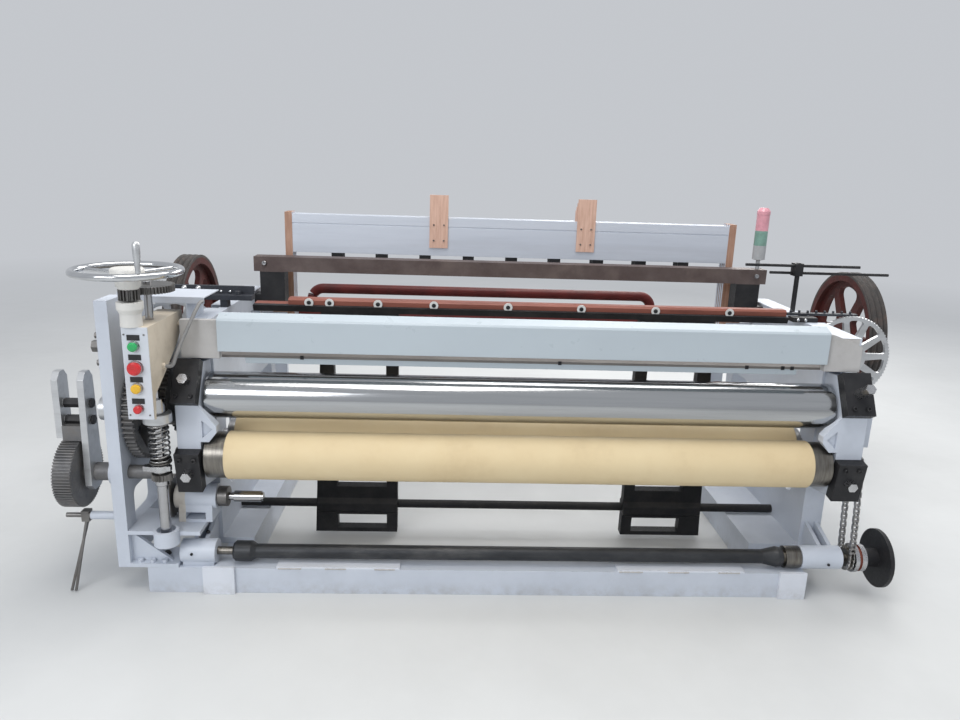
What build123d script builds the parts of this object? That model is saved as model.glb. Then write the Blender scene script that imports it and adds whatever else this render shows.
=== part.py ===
"""A wire mesh weaving machine: frame, rollers, wind-up, handwheel drive, sley, healds and warp beam.

Millimetres. X runs along the rollers to the right, Y away from the weaver, Z up. The origin lies on
the floor under the middle of the front base beam.
"""
import os
from math import atan2, cos, degrees, hypot, pi, radians, sin

from build123d import *

# Fits
running_gap = 0.05        # radial clearance of a shaft in its bearing
open_gap = 0.4            # clearance between parts that only pass each other
sheet = 3.0               # thickness of bent covers

# Base
beam_left, beam_right = -1082.0, 868.0
beam_half, beam_height = 40.0, 80.0
foot_left, foot_right = (-923.0, -832.0), (786.0, 868.0)
foot_proud = 10.0
rail_left, rail_right = (-892.0, -812.0), (748.0, 828.0)
rear_y = 1210.0

# Side frames
frame_inner, frame_outer = 907.0, 972.0
frame_front = 110.0
sole_top = 100.0
frame_top = 790.0
breast_front = 42.0
breast_low, breast_high = 690.0, 804.0
window_size = 250.0
window_round = 35.0

# Left outer plate
plate_in, plate_out = -1129.0, -1164.0
plate_front, plate_back = -40.0, 270.0
plate_top = 862.0
shelf_low, shelf_high = 183.0, 195.0
shelf_end = -925.0
flange_high = 92.0

# Rollers
front_y, front_z, front_r = 30.0, 406.0, 70.0
chrome_y, chrome_z, chrome_r = 67.0, 577.0, 67.0
rear_roller_y, rear_roller_z, rear_roller_r = 178.0, 415.0, 68.0
rubber_half, rubber_wall = 850.0, 10.0
roller_half = 905.0
steel_end_r = 66.5
journal_r = 20.0

# Roller brackets
bracket_in, bracket_out, bracket_out_left = 914.0, 991.0, 978.0
bracket_front = -20.0
block_low, block_high = 431.0, 569.0
cap_in, cap_out, cap_out_left, cap_wall = 912.0, 994.0, 980.0, 33.0
upper_cap = ((-53.0, 587.0), (10.0, 697.0))
lower_cap = ((-53.0, 436.0), (-33.0, 315.0))
web_tip, web_y, web_wall = 868.0, -20.0, 30.0
web_arc = 75.0
screw_flats = 26.0

# Breast beam
panel_half, panel_face = 860.0, 5.0
panel_low, panel_high = 720.0, 824.0
panel_wall, panel_depth = 5.0, 42.0

# Wind-up
wind_y, wind_z = 0.0, 115.4
pipe_r, pipe_left, pipe_right = 21.0, -775.0, 742.0
wind_journal_r = 12.0
housing_r = 35.0
left_housing, right_housing = (-990.0, -890.0), (856.0, 980.0)
collar_r, cone_r = 33.0, 30.0
disc_r, disc_x = 88.0, 1095.0
clutch_start = 1016.0

# Chain drive
chain_pitch, sprocket_teeth = 12.7, 16
chain_x = 1005.0
chain_inner_width, link_wall, link_height, chain_roller_r = 8.6, 1.8, 11.0, 4.2
sprocket_wall, sprocket_crown = 7.0, 3.2

# Spindle on the left
spindle_y, spindle_z, spindle_r = 60.0, 262.0, 14.0
spindle_housing_r = 37.0
ratchet_r, ratchet_teeth = 64.0, 24

# Vertical shaft
post_x, post_y = -1018.0, -45.0
post_r, post_upper_r = 15.0, 10.5
cup_r, cup_low, cup_high = 35.0, 160.0, 205.0
spring_r, spring_wire, spring_low, spring_turns, spring_sides = 26.0, 5.0, 414.0, 7, 12
ring_r, ring_low, ring_high = 38.0, 530.0, 555.0
worm_r, worm_half = 22.0, 20.0
wheel_x = (-1033.0, -1003.0)
worm_wheel_teeth, worm_wheel_depth = 40, 9.0

# Handwheel gears
gear_module, gear_teeth, pinion_teeth = 2.75, 48, 17
gear_low, gear_wall = 893.0, 18.0
hand_dx = -11.0
rim_r, rim_tube, rim_z = 127.0, 9.0, 958.0
hub_r, hub_top = 31.0, 965.0
handle_r, handle_high = 9.0, 1042.0
handle_pin_r = 4.0
hand_housing_high = 880.0

# Control column
column_x = (-1050.0, -984.0)
panel_y, column_back = -150.0, 100.0
panel_z = (572.0, 817.0)
column_sheet = 2.0
button_x = -1021.0
conduit_r = 5.0

# Rapier drive
drive_y, drive_z, drive_r = 10.0, 357.0, 20.0
pulley_x, pulley_r, pulley_teeth = (-1300.0, -1250.0), 102.0, 72
lever_x = (-1310.0, -1240.0)
lever_wall, lever_top, lever_half = 18.0, 655.0, 28.0

# Main gear and motor
main_y, main_z = 118.0, 517.0
main_x = (-1124.0, -1094.0)
main_module, main_teeth, motor_teeth = 5.0, 58, 18
motor_angle = -20.0
motor_r = 78.0

# Sley
sley_y, sley_z, sley_r = 330.0, 118.0, 14.0
sley_lean = 3.4           # degrees towards the weaver at rest
sword_in, sword_out = 385.0, 650.0
sword_wall, sword_tail = 34.0, 100.0
beam_reach = 670.0
sley_left, sley_right = -826.0, 850.0
race_left = -720.0

# Rapier
rapier_x, rapier_y, rapier_z, rapier_r = 1078.0, 300.0, 673.0, 136.0
rapier_wall, rapier_teeth, rapier_windows = 12.0, 52, 11
rapier_shaft_r = 15.0
recess_in = 935.0

# Harness
harness_y, harness_z = (600.0, 660.0), (861.0, 912.0)
heald_y, heald_pitch, heald_count = 700.0, 18.0, 4
heald_half, post_inner = 789.0, 815.0
heald_top, heald_rail_low, heald_foot = 1055.0, 920.0, 545.0
rail_wall = 10.0
hook_pitch = 158.0
block_x = (-267.0, 264.0)

# Warp beam and back rest
warp_y, warp_z, barrel_r, warp_shaft_r = 1000.0, 600.0, 75.0, 30.0
drum_r, drum_wall = 262.0, 67.0
drum_faces = (-1223.0, 1405.0)
drum_spokes, drum_grooves = 6, 3
rest_y, rest_z, rest_r = 950.0, 749.0, 20.0
rest_pivot_y, rest_pivot_z = 880.0, 660.0
rest_left, rest_right = -790.0, 610.0


def block(x0, x1, y0, y1, z0, z1):
    """A box between two corners."""
    return Pos((x0 + x1) / 2, (y0 + y1) / 2, (z0 + z1) / 2) * Box(abs(x1 - x0), y1 - y0, z1 - z0)


def bar_x(x0, x1, y, z, r):
    """A round bar along X."""
    return Pos((x0 + x1) / 2, y, z) * Rot(0, 90, 0) * Cylinder(r, abs(x1 - x0))


def bar_y(x, y0, y1, z, r):
    """A round bar along Y."""
    return Pos(x, (y0 + y1) / 2, z) * Rot(90, 0, 0) * Cylinder(r, y1 - y0)


def bar_z(x, y, z0, z1, r):
    """A round bar along Z."""
    return Pos(x, y, (z0 + z1) / 2) * Cylinder(r, z1 - z0)


def prism_x(x0, x1, points, corner=0.0):
    """A plate across X from its outline of (y, z) points, with rounded corners if asked."""
    face = make_face(Polyline(*points, close=True))
    if corner:
        face = fillet(face.vertices(), corner)
    return extrude(Plane.YZ.offset(min(x0, x1)) * face, abs(x1 - x0), dir=(1, 0, 0))


def prism_y(y0, y1, points, corner=0.0):
    """A plate across Y from its outline of (x, z) points."""
    face = make_face(Polyline(*points, close=True))
    if corner:
        face = fillet(face.vertices(), corner)
    return extrude(Plane.XZ.offset(-y0) * face, y1 - y0, dir=(0, 1, 0))


def prism_z(z0, z1, points):
    """A plate across Z from its outline of (x, y) points."""
    return extrude(Plane.XY.offset(z0) * make_face(Polyline(*points, close=True)), z1 - z0, dir=(0, 0, 1))


def turned_x(y, z, points):
    """A piece turned about an axis along X, from its half section of (x, radius) points."""
    return Pos(0, y, z) * revolve(make_face(Polyline(*points, close=True)), Axis.X)


def turned_z(x, y, points):
    """A piece turned about an upright axis, from its half section of (radius, z) points."""
    return Pos(x, y, 0) * revolve(Plane.XZ * make_face(Polyline(*points, close=True)), Axis.Z)


def shaft_profile(steps):
    """The half section of a stepped shaft from (start, end, radius) steps that follow each other."""
    points = [(steps[0][0], 0)]
    for start, end, radius in steps:
        points += [(start, radius), (end, radius)]
    return points + [(steps[-1][1], 0)]


def toothed(teeth, corners, phase=0.0):
    """Outline of a toothed wheel: each tooth repeats its (radius, share of the pitch) corners."""
    points = []
    for number in range(teeth):
        for radius, share in corners:
            angle = radians(phase + (number + share) * 360 / teeth)
            points.append((radius * cos(angle), radius * sin(angle)))
    return points


def spur_corners(module, teeth):
    """Corners of one straight-sided spur tooth, slim enough to leave backlash."""
    root, tip = module * (teeth / 2 - 1.25), module * (teeth / 2 + 0.95)
    return ((root, -0.33), (tip, -0.12), (tip, 0.12), (root, 0.33))


def shifted(points, u, v):
    """An outline moved by u and v."""
    return [(a + u, b + v) for a, b in points]


def rounded_box_outline(u0, u1, v0, v1):
    """The four corners of a rectangle, for a window."""
    return [(u0, v0), (u1, v0), (u1, v1), (u0, v1)]


def hexagon(u, v, flats):
    """A hexagon of a given width across flats."""
    radius = flats / 2 / cos(radians(30))
    return [(u + radius * cos(radians(60 * k)), v + radius * sin(radians(60 * k))) for k in range(6)]


def mirrored(shape, side):
    """The shape itself on the right, or its mirror image on the left."""
    return shape if side > 0 else mirror(shape, Plane.YZ)


def base_frame():
    """Front beam with proud foot blocks and weld plates, two floor rails and the rear beam."""
    frame = block(beam_left, beam_right, -beam_half, beam_half, 0, beam_height)
    for x0, x1 in (foot_left, foot_right):
        frame += block(x0, x1, -beam_half - foot_proud, -beam_half, 0, beam_height + 6)
    for x0, x1 in ((-712, -352), (295, 680)):
        frame += block(x0, x1, -beam_half, 0, beam_height, beam_height + 6)
    for x0, x1 in (rail_left, rail_right):
        frame += block(x0, x1, beam_half, rear_y, 0, beam_height)
    return frame + block(rail_left[1], rail_right[0], rear_y - 80, rear_y, 0, beam_height)


def side_frame(side):
    """A cast side wall with windows, a sole on the floor rail, the arm for the breast beam and bearings."""
    outline = [(frame_front, sole_top), (frame_front, 680), (breast_front, breast_low),
               (breast_front, frame_top), (720, frame_top),
               (790, 740), (960, 720), (1090, 690), (1130, 600), (1090, 480), (1150, sole_top)]
    wall = prism_x(frame_inner, frame_outer, outline)
    for y0, y1, z0, height in ((200, 450, 235, window_size), (560, 810, 235, window_size),
                               (870, 1080, 235, window_size), (520, 670, 560, 170)):
        hole = rounded_box_outline(y0, y1, z0, z0 + height)
        wall -= prism_x(frame_inner - 5, frame_outer + 5, hole, corner=window_round)
    wall -= block(recess_in, frame_outer + 5, rapier_y - 25, rapier_y + 25, 530, 820)
    rail = rail_right if side > 0 else rail_left
    reach = rail[0] if side > 0 else -rail[1]
    wall += block(reach, frame_outer, frame_front, 1150, beam_height, sole_top)
    wall += block(815, frame_inner, 692, 772, 690, 700)
    shoulder = [(965, 770), (936, 783), (876, breast_high)] if side > 0 else [(965, breast_high)]
    wall += prism_y(20, breast_front, [(panel_half, breast_low + 6), (965, breast_low + 6)] + shoulder
                    + [(panel_half, breast_high)])
    bores = ((rear_roller_y, rear_roller_z, 18), (sley_y, sley_z, sley_r),
             (warp_y, warp_z, warp_shaft_r), (rest_pivot_y, rest_pivot_z, rest_r))
    for y, z, radius in bores:
        depth = frame_outer + 5 if radius == warp_shaft_r else frame_inner + 30
        wall -= bar_x(frame_inner - 20, depth, y, z, radius + running_gap)
    return mirrored(wall, side)


def outer_plate():
    """The tall plate left of the column, with shelf, foot flange, gusset and shaft flanges."""
    outline = [(plate_front, beam_height), (plate_front, plate_top), (60, plate_top), (60, 838), (105, 838),
               (105, plate_top), (200, plate_top), (plate_back, 800), (plate_back, 210), (200, beam_height)]
    plate = prism_x(plate_out, plate_in, outline)
    plate -= prism_x(plate_out - 5, plate_in + 5, rounded_box_outline(20, 200, 190, 300), corner=25)
    plate += block(plate_in, left_housing[0] - 3, plate_front, 60, beam_height, flange_high)
    plate += block(plate_in, shelf_end, plate_front, frame_front, shelf_low, shelf_high)
    plate += prism_y(-20, -8, [(plate_in, flange_high), (-1015, flange_high), (plate_in, shelf_low)])
    plate -= bar_z(post_x, post_y, shelf_low - 1, shelf_high + 1, cup_r + running_gap)
    plate += bar_x(plate_out - 12, plate_out, drive_y, drive_z, 37.5)
    plate += bar_x(plate_out - 24, plate_out, drive_y, 548, 34)
    for z, length, flats in ((757, 26, 16), (727, 34, 30), (680, 26, 16)):
        plate += prism_x(plate_out - length, plate_out, hexagon(drive_y, z, flats))
    plate -= bar_x(plate_out - 20, plate_in + 20, drive_y, drive_z, drive_r + running_gap)
    plate -= bar_x(plate_out - 20, plate_in + 20, main_y, main_z, 22 + running_gap)
    for x in (-1105, -1070, -1035):
        plate += prism_z(flange_high, flange_high + 9, hexagon(x, -28, 15))
    return plate


def cap_frame(line):
    """Start point, unit vector along a cap's front face and the unit vector behind it."""
    (y0, z0), (y1, z1) = line
    length = hypot(y1 - y0, z1 - z0)
    along = ((y1 - y0) / length, (z1 - z0) / length)
    sign = 1 if z1 > z0 else -1
    behind = (sign * along[1], -sign * along[0])
    return (y0, z0), along, behind, length


def cap_outline(line):
    """The leaning plate's section: its front face and the face that lies on the bracket."""
    (y0, z0), along, behind, length = cap_frame(line)
    front = [(y0, z0), (y0 + along[0] * length, z0 + along[1] * length)]
    back = [(y + behind[0] * cap_wall, z + behind[1] * cap_wall) for y, z in reversed(front)]
    return front + back


def roller_bracket(side):
    """The white block that carries two rollers, with the web that reaches in between them."""
    upper, lower = cap_outline(upper_cap), cap_outline(lower_cap)
    outline = [lower[2], (bracket_front, block_low + 8), (bracket_front, block_high), upper[3], upper[2],
               (frame_front, 672), (frame_front, 300)]
    outer = bracket_out if side > 0 else bracket_out_left
    body = prism_x(bracket_in, outer, outline)
    mid = (block_low + block_high) / 2
    web = prism_y(web_y, web_y + web_wall, [(web_tip, mid - 9), (web_tip, mid + 9),
                                            (bracket_in, block_high), (bracket_in, block_low)])
    web -= prism_y(web_y - 1, web_y + 8, [(web_tip + 12, mid), (bracket_in - 6, mid + 26),
                                          (bracket_in - 6, mid - 26)])
    for y, z in ((front_y, front_z), (chrome_y, chrome_z)):
        web -= bar_x(web_tip - 5, bracket_in, y, z, web_arc)
    body += web
    for y, z in ((front_y, front_z), (chrome_y, chrome_z)):
        body -= bar_x(bracket_in - 5, bracket_out + 5, y, z, journal_r + running_gap)
    if side > 0:
        body += block(outer, 1040, 40, 50, 458, 552)
    return mirrored(body, side)


def pressure_plates():
    """Four leaning black plates on the brackets, two to a side."""
    plates = []
    for side, outer in ((-1, cap_out_left), (1, cap_out)):
        for line in (upper_cap, lower_cap):
            plates.append(mirrored(prism_x(cap_in, outer, cap_outline(line)), side))
    return Compound(children=plates)


def pressure_screws():
    """A hexagon head screw square to each plate, longer at the upper right."""
    screws = []
    for side, outer in ((-1, cap_out_left), (1, cap_out)):
        for line in (upper_cap, lower_cap):
            (y0, z0), along, behind, length = cap_frame(line)
            y, z = y0 + along[0] * length / 2, z0 + along[1] * length / 2
            reach = 62 if side > 0 and line is upper_cap else 24
            x = side * (cap_in + outer) / 2
            plane = Plane(origin=(x, y, z), x_dir=(1, 0, 0), z_dir=(0, -behind[0], -behind[1]))
            screws.append(extrude(plane * make_face(Polyline(*hexagon(0, 0, screw_flats), close=True)), reach))
    return Compound(children=screws)


def breast_beam():
    """The pale hollow beam over the rollers with its sloping top, and the flat bar behind its foot."""
    back, front_top = panel_face + panel_depth, panel_high - 18
    outline = [(panel_face, panel_low), (panel_face, front_top), (panel_face + 4, front_top + 6),
               (back - 5, panel_high), (back, panel_high - 5), (back, panel_low)]
    wall = panel_wall
    hollow = [(panel_face + wall, panel_low + wall), (panel_face + wall, front_top), (back - 7, panel_high - wall),
              (back - wall, panel_high - 2 * wall), (back - wall, panel_low + wall)]
    beam = prism_x(-panel_half, panel_half, outline) - prism_x(-panel_half - 1, panel_half + 1, hollow)
    return Compound(children=[beam, block(-frame_inner, frame_inner, 60, 100, breast_low, breast_low + 7)])


def sprocket(y, z, n_angle):
    """A sixteen tooth sprocket whose gaps sit on the chain's rollers."""
    radius = chain_pitch / 2 / sin(pi / sprocket_teeth)
    root, tip = radius - chain_roller_r - 0.5, radius + sprocket_crown
    corners = ((root, -0.25), (tip, -0.06), (tip, 0.06), (root, 0.25))
    outline = toothed(sprocket_teeth, corners, n_angle + 180 / sprocket_teeth)
    x0 = chain_x - sprocket_wall / 2
    return prism_x(x0, x0 + sprocket_wall, shifted(outline, y, z))


def chain_tilt():
    """Angle of the line between the two sprocket centres in the YZ plane."""
    return degrees(atan2(front_z - wind_z, front_y - wind_y))


def chain_pins():
    """The pins of the closed chain: two half turns on the sprockets and two straight runs."""
    radius = chain_pitch / 2 / sin(pi / sprocket_teeth)
    tilt = radians(chain_tilt())
    along, across = (cos(tilt), sin(tilt)), (-sin(tilt), cos(tilt))
    half = sprocket_teeth // 2
    span = hypot(front_z - wind_z, front_y - wind_y)
    runs = round(span / chain_pitch)
    pins = []
    for centre, sign in (((front_y, front_z), 1), ((wind_y, wind_z), -1)):
        for k in range(half + 1):
            turn = pi * k / half
            u, v = sign * radius * cos(turn), sign * radius * sin(turn)
            pins.append((centre[0] + across[0] * u + along[0] * v, centre[1] + across[1] * u + along[1] * v))
        start = pins[-1]
        for k in range(1, runs):
            step = -sign * k * span / runs
            pins.append((start[0] + along[0] * step, start[1] + along[1] * step))
    return pins


def link_outline(a, b):
    """A six-sided link plate from pin a to pin b."""
    length = hypot(b[0] - a[0], b[1] - a[1])
    u = ((b[0] - a[0]) / length, (b[1] - a[1]) / length)
    v = (-u[1], u[0])
    half, end = link_height / 2, link_height * 0.46
    corners = ((-end, 0), (-end / 3, half), (length + end / 3, half),
               (length + end, 0), (length + end / 3, -half), (-end / 3, -half))
    return [(a[0] + u[0] * p + v[0] * q, a[1] + u[1] * p + v[1] * q) for p, q in corners]


def roller_chain():
    """Sixty-two links: narrow ones with their rollers and wide ones outside them, in turn.

    The loop is fixed, so the rollers are left out where the sprockets' teeth turn between the plates.
    """
    pins = chain_pins()
    swept = chain_pitch / 2 / sin(pi / sprocket_teeth) + sprocket_crown + chain_roller_r + open_gap
    pieces = []
    for number, pin in enumerate(pins):
        outline = link_outline(pin, pins[(number + 1) % len(pins)])
        inner = chain_inner_width / 2 + (link_wall if number % 2 else 0)
        for x0 in (chain_x - inner - link_wall, chain_x + inner):
            pieces.append(prism_x(x0, x0 + link_wall, outline))
        reach = min(hypot(pin[0] - front_y, pin[1] - front_z), hypot(pin[0] - wind_y, pin[1] - wind_z))
        if reach < swept:
            continue
        half = chain_inner_width / 2
        corners = ((chain_roller_r, 0.0),)
        pieces.append(prism_x(chain_x - half, chain_x + half, shifted(toothed(4, corners), *pin)))
    return Compound(children=pieces)


def front_roller_core():
    """Steel core of the front roller with shouldered ends, journals and its chain sprocket."""
    core_r = front_r - rubber_wall
    steps = [(-1000, -roller_half, journal_r), (-roller_half, -rubber_half, steel_end_r),
             (-rubber_half, rubber_half, core_r), (rubber_half, roller_half, steel_end_r),
             (roller_half, 1012, journal_r)]
    core = turned_x(front_y, front_z, shaft_profile(steps))
    return core + sprocket(front_y, front_z, chain_tilt() + 90)


def front_roller_rubber():
    """The rubber sleeve on the front roller's core."""
    bore = front_r - rubber_wall + running_gap
    end = rubber_half - running_gap
    section = [(-end, bore), (-end, front_r - 2), (-end + 2, front_r), (end - 2, front_r),
               (end, front_r - 2), (end, bore)]
    return turned_x(front_y, front_z, section)


def chrome_roller():
    """The plated roller with its journals, the left one carrying the worm wheel."""
    steps = [(-1042, -roller_half, journal_r), (-roller_half, roller_half, chrome_r),
             (roller_half, 1000, journal_r)]
    return turned_x(chrome_y, chrome_z, shaft_profile(steps))


def worm_wheel():
    """Worm wheel on the chrome roller's left journal."""
    tip = chrome_y - post_y - worm_r - open_gap
    root = tip - worm_wheel_depth
    corners = ((root, -0.33), (tip, -0.14), (tip, 0.14), (root, 0.33))
    outline = shifted(toothed(worm_wheel_teeth, corners), chrome_y, chrome_z)
    wheel = prism_x(*wheel_x, outline)
    return wheel - bar_x(wheel_x[0] - 1, wheel_x[1] + 1, chrome_y, chrome_z, journal_r + running_gap)


def rear_roller():
    """The second rubber roller behind, on a stepped core that runs in the side frames."""
    steps = [(-frame_inner - 28, -885, 18), (-885, 885, 50), (885, frame_inner + 28, 18)]
    core = turned_x(rear_roller_y, rear_roller_z, shaft_profile(steps))
    half = rubber_half + 10
    sleeve = turned_x(rear_roller_y, rear_roller_z, [
        (-half, 50 + running_gap), (-half, rear_roller_r), (half, rear_roller_r), (half, 50 + running_gap)])
    return Compound(children=[core, sleeve])


def windup_shaft():
    """The cloth wind-up pipe with its two cones, collar, journals and sprocket."""
    points = [(-982, 0), (-982, wind_journal_r), (-842, wind_journal_r), (-842, 24), (-835, cone_r),
              (-790, cone_r), (pipe_left, pipe_r), (pipe_right, pipe_r), (785, cone_r + 1), (800, 28),
              (800, 22), (808, 22), (808, collar_r), (854, collar_r), (854, wind_journal_r),
              (1118, wind_journal_r), (1118, 0)]
    return turned_x(wind_y, wind_z, points) + sprocket(wind_y, wind_z, chain_tilt() + 90)


def friction_clutch():
    """Rings of the slipping clutch beside the sprocket, ending in the large dark disc."""
    rings = ((clutch_start, 12, 43), (clutch_start + 12, 9, 36), (clutch_start + 21, 15, 41),
             (clutch_start + 36, disc_x - clutch_start - 36, 28))
    stack = bar_x(disc_x, disc_x + 12, wind_y, wind_z, disc_r)
    for start, length, radius in rings:
        stack += bar_x(start, start + length, wind_y, wind_z, radius)
    return stack - bar_x(clutch_start - 1, disc_x + 20, wind_y, wind_z, wind_journal_r + running_gap)


def windup_housing(side):
    """Round bearing housing of the wind-up shaft with two ribs back to the side frame."""
    x0, x1 = left_housing if side < 0 else right_housing
    body = bar_x(x0, x1, wind_y, wind_z, housing_r)
    section = [(wind_y, wind_z - 12), (wind_y, wind_z + 28), (frame_front, shelf_low - 4), (frame_front, wind_z - 12)]
    for rib in (918, 950):
        body += prism_x(side * rib, side * (rib + 12), section)
    if side < 0:
        body += block(x0 + 5, x1 - 5, wind_y - 26, wind_y + 26, beam_height, wind_z - 20)
    return body - bar_x(x0 - 1, x1 + 1, wind_y, wind_z, wind_journal_r + running_gap)


def spindle_housing():
    """Bearing tube of the short spindle on a bracket that stands on the shelf."""
    body = bar_x(-1018, -897, spindle_y, spindle_z, spindle_housing_r)
    body += prism_x(-1005, -908, [(22, shelf_high), (98, shelf_high), (92, spindle_z), (28, spindle_z)])
    body -= block(-985, -928, 20, 70, shelf_high + 8, spindle_z - 38)
    return body - bar_x(-1020, -890, spindle_y, spindle_z, spindle_r + running_gap)


def spindle_shaft():
    """The bare spindle with its dark collar."""
    steps = [(-1048, -895, spindle_r), (-895, -868, 30), (-868, -850, 12), (-850, -770, 16.5), (-770, -765, 13)]
    return turned_x(spindle_y, spindle_z, shaft_profile(steps))


def spindle_ratchet():
    """Saw-toothed ratchet wheel at the spindle's left end."""
    corners = ((ratchet_r - 8, 0.0), (ratchet_r, 0.82))
    wheel = prism_x(-1045, -1025, shifted(toothed(ratchet_teeth, corners), spindle_y, spindle_z))
    return wheel - bar_x(-1050, -1020, spindle_y, spindle_z, spindle_r + running_gap)


def shaft_bearings():
    """The open cup under the vertical shaft and the slotted ring cup over its spring."""
    cup = bar_z(post_x, post_y, cup_low, cup_high, cup_r)
    cup -= bar_z(post_x, post_y, cup_high - 14, cup_high + 1, 26)
    cup -= bar_z(post_x, post_y, cup_low + 12, cup_high + 1, post_r + running_gap)
    ring = bar_z(post_x, post_y, ring_low, ring_high, ring_r)
    ring -= bar_z(post_x, post_y, ring_low - 1, ring_high + 1, post_upper_r + running_gap)
    ring -= block(wheel_x[0] - 4, wheel_x[1] + 4, post_y + 13, post_y + 50, ring_low - 1, ring_high + 1)
    return Compound(children=[cup, ring])


def vertical_shaft():
    """The upright shaft with ball collar, ratchet gear, spring seats and worm."""
    z_worm = chrome_z
    points = [(0, cup_low + 13), (post_r, cup_low + 13), (post_r, 342), (18.5, 345), (18.5, 360),
              (post_r, 378), (12, 378), (12, 411), (30, 411), (30, spring_low), (post_upper_r, spring_low),
              (post_upper_r, z_worm - worm_half),
              (worm_r, z_worm - worm_half), (worm_r, z_worm + worm_half),
              (post_upper_r, z_worm + worm_half), (post_upper_r, gear_low + gear_wall + 8),
              (0, gear_low + gear_wall + 8)]
    shaft = turned_z(post_x, post_y, points)
    outline = toothed(18, ((24, 0.0), (28, 0.75)))
    return shaft + prism_z(360, 378, shifted(outline, post_x, post_y))


def pawl_bracket():
    """Grey cast bracket that turns a little on the shaft and carries the pawl."""
    body = bar_z(post_x, post_y, 386, 404, 24)
    body += prism_z(388, 402, [(post_x - 46, post_y - 14), (post_x - 10, post_y - 22),
                               (post_x - 10, post_y + 18), (post_x - 46, post_y + 4)])
    body += prism_z(388, 402, [(post_x + 4, post_y - 20), (post_x + 29, post_y - 12),
                               (post_x + 29, post_y + 2), (post_x + 4, post_y + 14)])
    return body - bar_z(post_x, post_y, 380, 410, 12 + running_gap)


def shaft_spring():
    """Compression spring of square wire between its seat and the ring cup, in short straight lengths."""
    half = spring_wire / 2
    low, high = spring_low + half + 0.3, ring_low - half - 0.3
    count = spring_turns * spring_sides
    rings = []
    for k in range(count + 1):
        angle = 2 * pi * k / spring_sides
        height = low + (high - low) * k / count
        corners = ((spring_r - half, -half), (spring_r + half, -half), (spring_r + half, half), (spring_r - half, half))
        rings.append([Vector(post_x + r * cos(angle), post_y + r * sin(angle), height + h) for r, h in corners])
    faces = [Face(Wire.make_polygon(rings[0], close=True)), Face(Wire.make_polygon(rings[-1], close=True))]
    for before, after in zip(rings, rings[1:]):
        for i in range(4):
            j = (i + 1) % 4
            faces.append(Face(Wire.make_polygon([before[i], before[j], after[j]], close=True)))
            faces.append(Face(Wire.make_polygon([before[i], after[j], after[i]], close=True)))
    return Solid(Shell(faces))


def hand_axis():
    """Centre of the handwheel, one gear pair away from the vertical shaft."""
    distance = gear_module * (gear_teeth + pinion_teeth) / 2
    return post_x + hand_dx, post_y - (distance ** 2 - hand_dx ** 2) ** 0.5


def shaft_gear():
    """The large spur gear on top of the vertical shaft."""
    hand_x, hand_y = hand_axis()
    phase = degrees(atan2(hand_y - post_y, hand_x - post_x))
    outline = shifted(toothed(gear_teeth, spur_corners(gear_module, gear_teeth), phase), post_x, post_y)
    gear = prism_z(gear_low, gear_low + gear_wall, outline)
    return gear - bar_z(post_x, post_y, gear_low - 1, gear_low + gear_wall + 1, post_upper_r + running_gap)


def handwheel():
    """Rim, three spokes, hub and the pinion below it on one short spindle."""
    x, y = hand_axis()
    rim = turned_z(x, y, shifted(toothed(8, ((rim_tube, 0.5),)), rim_r, rim_z))
    hub = turned_z(x, y, [(0, 830), (9, 830), (9, 912), (22, 912), (hub_r, 936), (hub_r, hub_top), (0, hub_top)])
    wheel = rim + hub
    for k in range(3):
        spoke = prism_x(hub_r - 6, rim_r - 4, hexagon(0, rim_z - 4, 10))
        wheel += Pos(x, y, 0) * Rot(0, 0, 47 + 120 * k) * spoke
    wheel += bar_z(*handle_place(), rim_z, handle_high - 12, handle_pin_r)
    phase = degrees(atan2(post_y - y, post_x - x)) + 180 / pinion_teeth
    outline = toothed(pinion_teeth, spur_corners(gear_module, pinion_teeth), phase)
    return wheel + prism_z(gear_low - 9, 912, shifted(outline, x, y))


def handle_place():
    """Where the handle stands on the rim."""
    x, y = hand_axis()
    angle = radians(-56.5)
    return x + rim_r * cos(angle), y + rim_r * sin(angle)


def hand_grip():
    """The revolving handle, fuller in its upper half."""
    x, y = handle_place()
    base = rim_z + rim_tube * cos(pi / 8) + running_gap
    grip = turned_z(x, y, [(0, base), (6, base), (handle_r, base + 50), (handle_r, handle_high - 4),
                           (handle_r - 3, handle_high), (0, handle_high)])
    return grip - bar_z(x, y, base - 1, handle_high - 12 + running_gap, handle_pin_r + running_gap)


def handwheel_housing():
    """Cast pillar on the column that the handwheel's spindle turns in."""
    x, y = hand_axis()
    low, high = panel_z[1], hand_housing_high
    body = turned_z(x, y, [(0, low), (27, low), (26, 850), (32.5, 862), (32.5, high), (0, high)])
    return body - bar_z(x, y, 825, high + 1, 9 + running_gap)


def control_column():
    """Bent sheet column: flat front panel, top plate and two sides, of which the right one is cut away below."""
    x0, x1 = column_x
    z0, z1 = panel_z
    side = [(panel_y, z0), (panel_y, z1), (column_back, z1), (column_back, 770), (-8, 690), (-8, ring_high),
            (-82, ring_high)]
    inside = [(panel_y + column_sheet, z0 - 40), (panel_y + column_sheet, z1 - column_sheet),
              (column_back + 1, z1 - column_sheet), (column_back + 1, z0 - 40)]
    shell = prism_x(x0, x1, side) - prism_x(x0 + column_sheet, x1 - column_sheet, inside)
    shell -= prism_x(x1 - column_sheet - 1, x1 + 1, [
        (column_back + 1, 780), (50, 735), (-66, 666), (-128, 634), (-138, ring_high - 10),
        (column_back + 1, ring_high - 10)])
    shell += block(x1 - 1, -frame_outer, column_back - 40, column_back, 780, frame_top)
    shell += bar_x(x1, x1 + 8, -66, 694, conduit_r + 4)
    shell -= bar_z(post_x, post_y, z1 - 5, z1 + 5, post_upper_r + 1)
    for _, z, radius in buttons():
        shell -= bar_y(button_x, panel_y - 1, panel_y + column_sheet + 1, z, min(radius, 9) + open_gap)
    return shell


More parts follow.
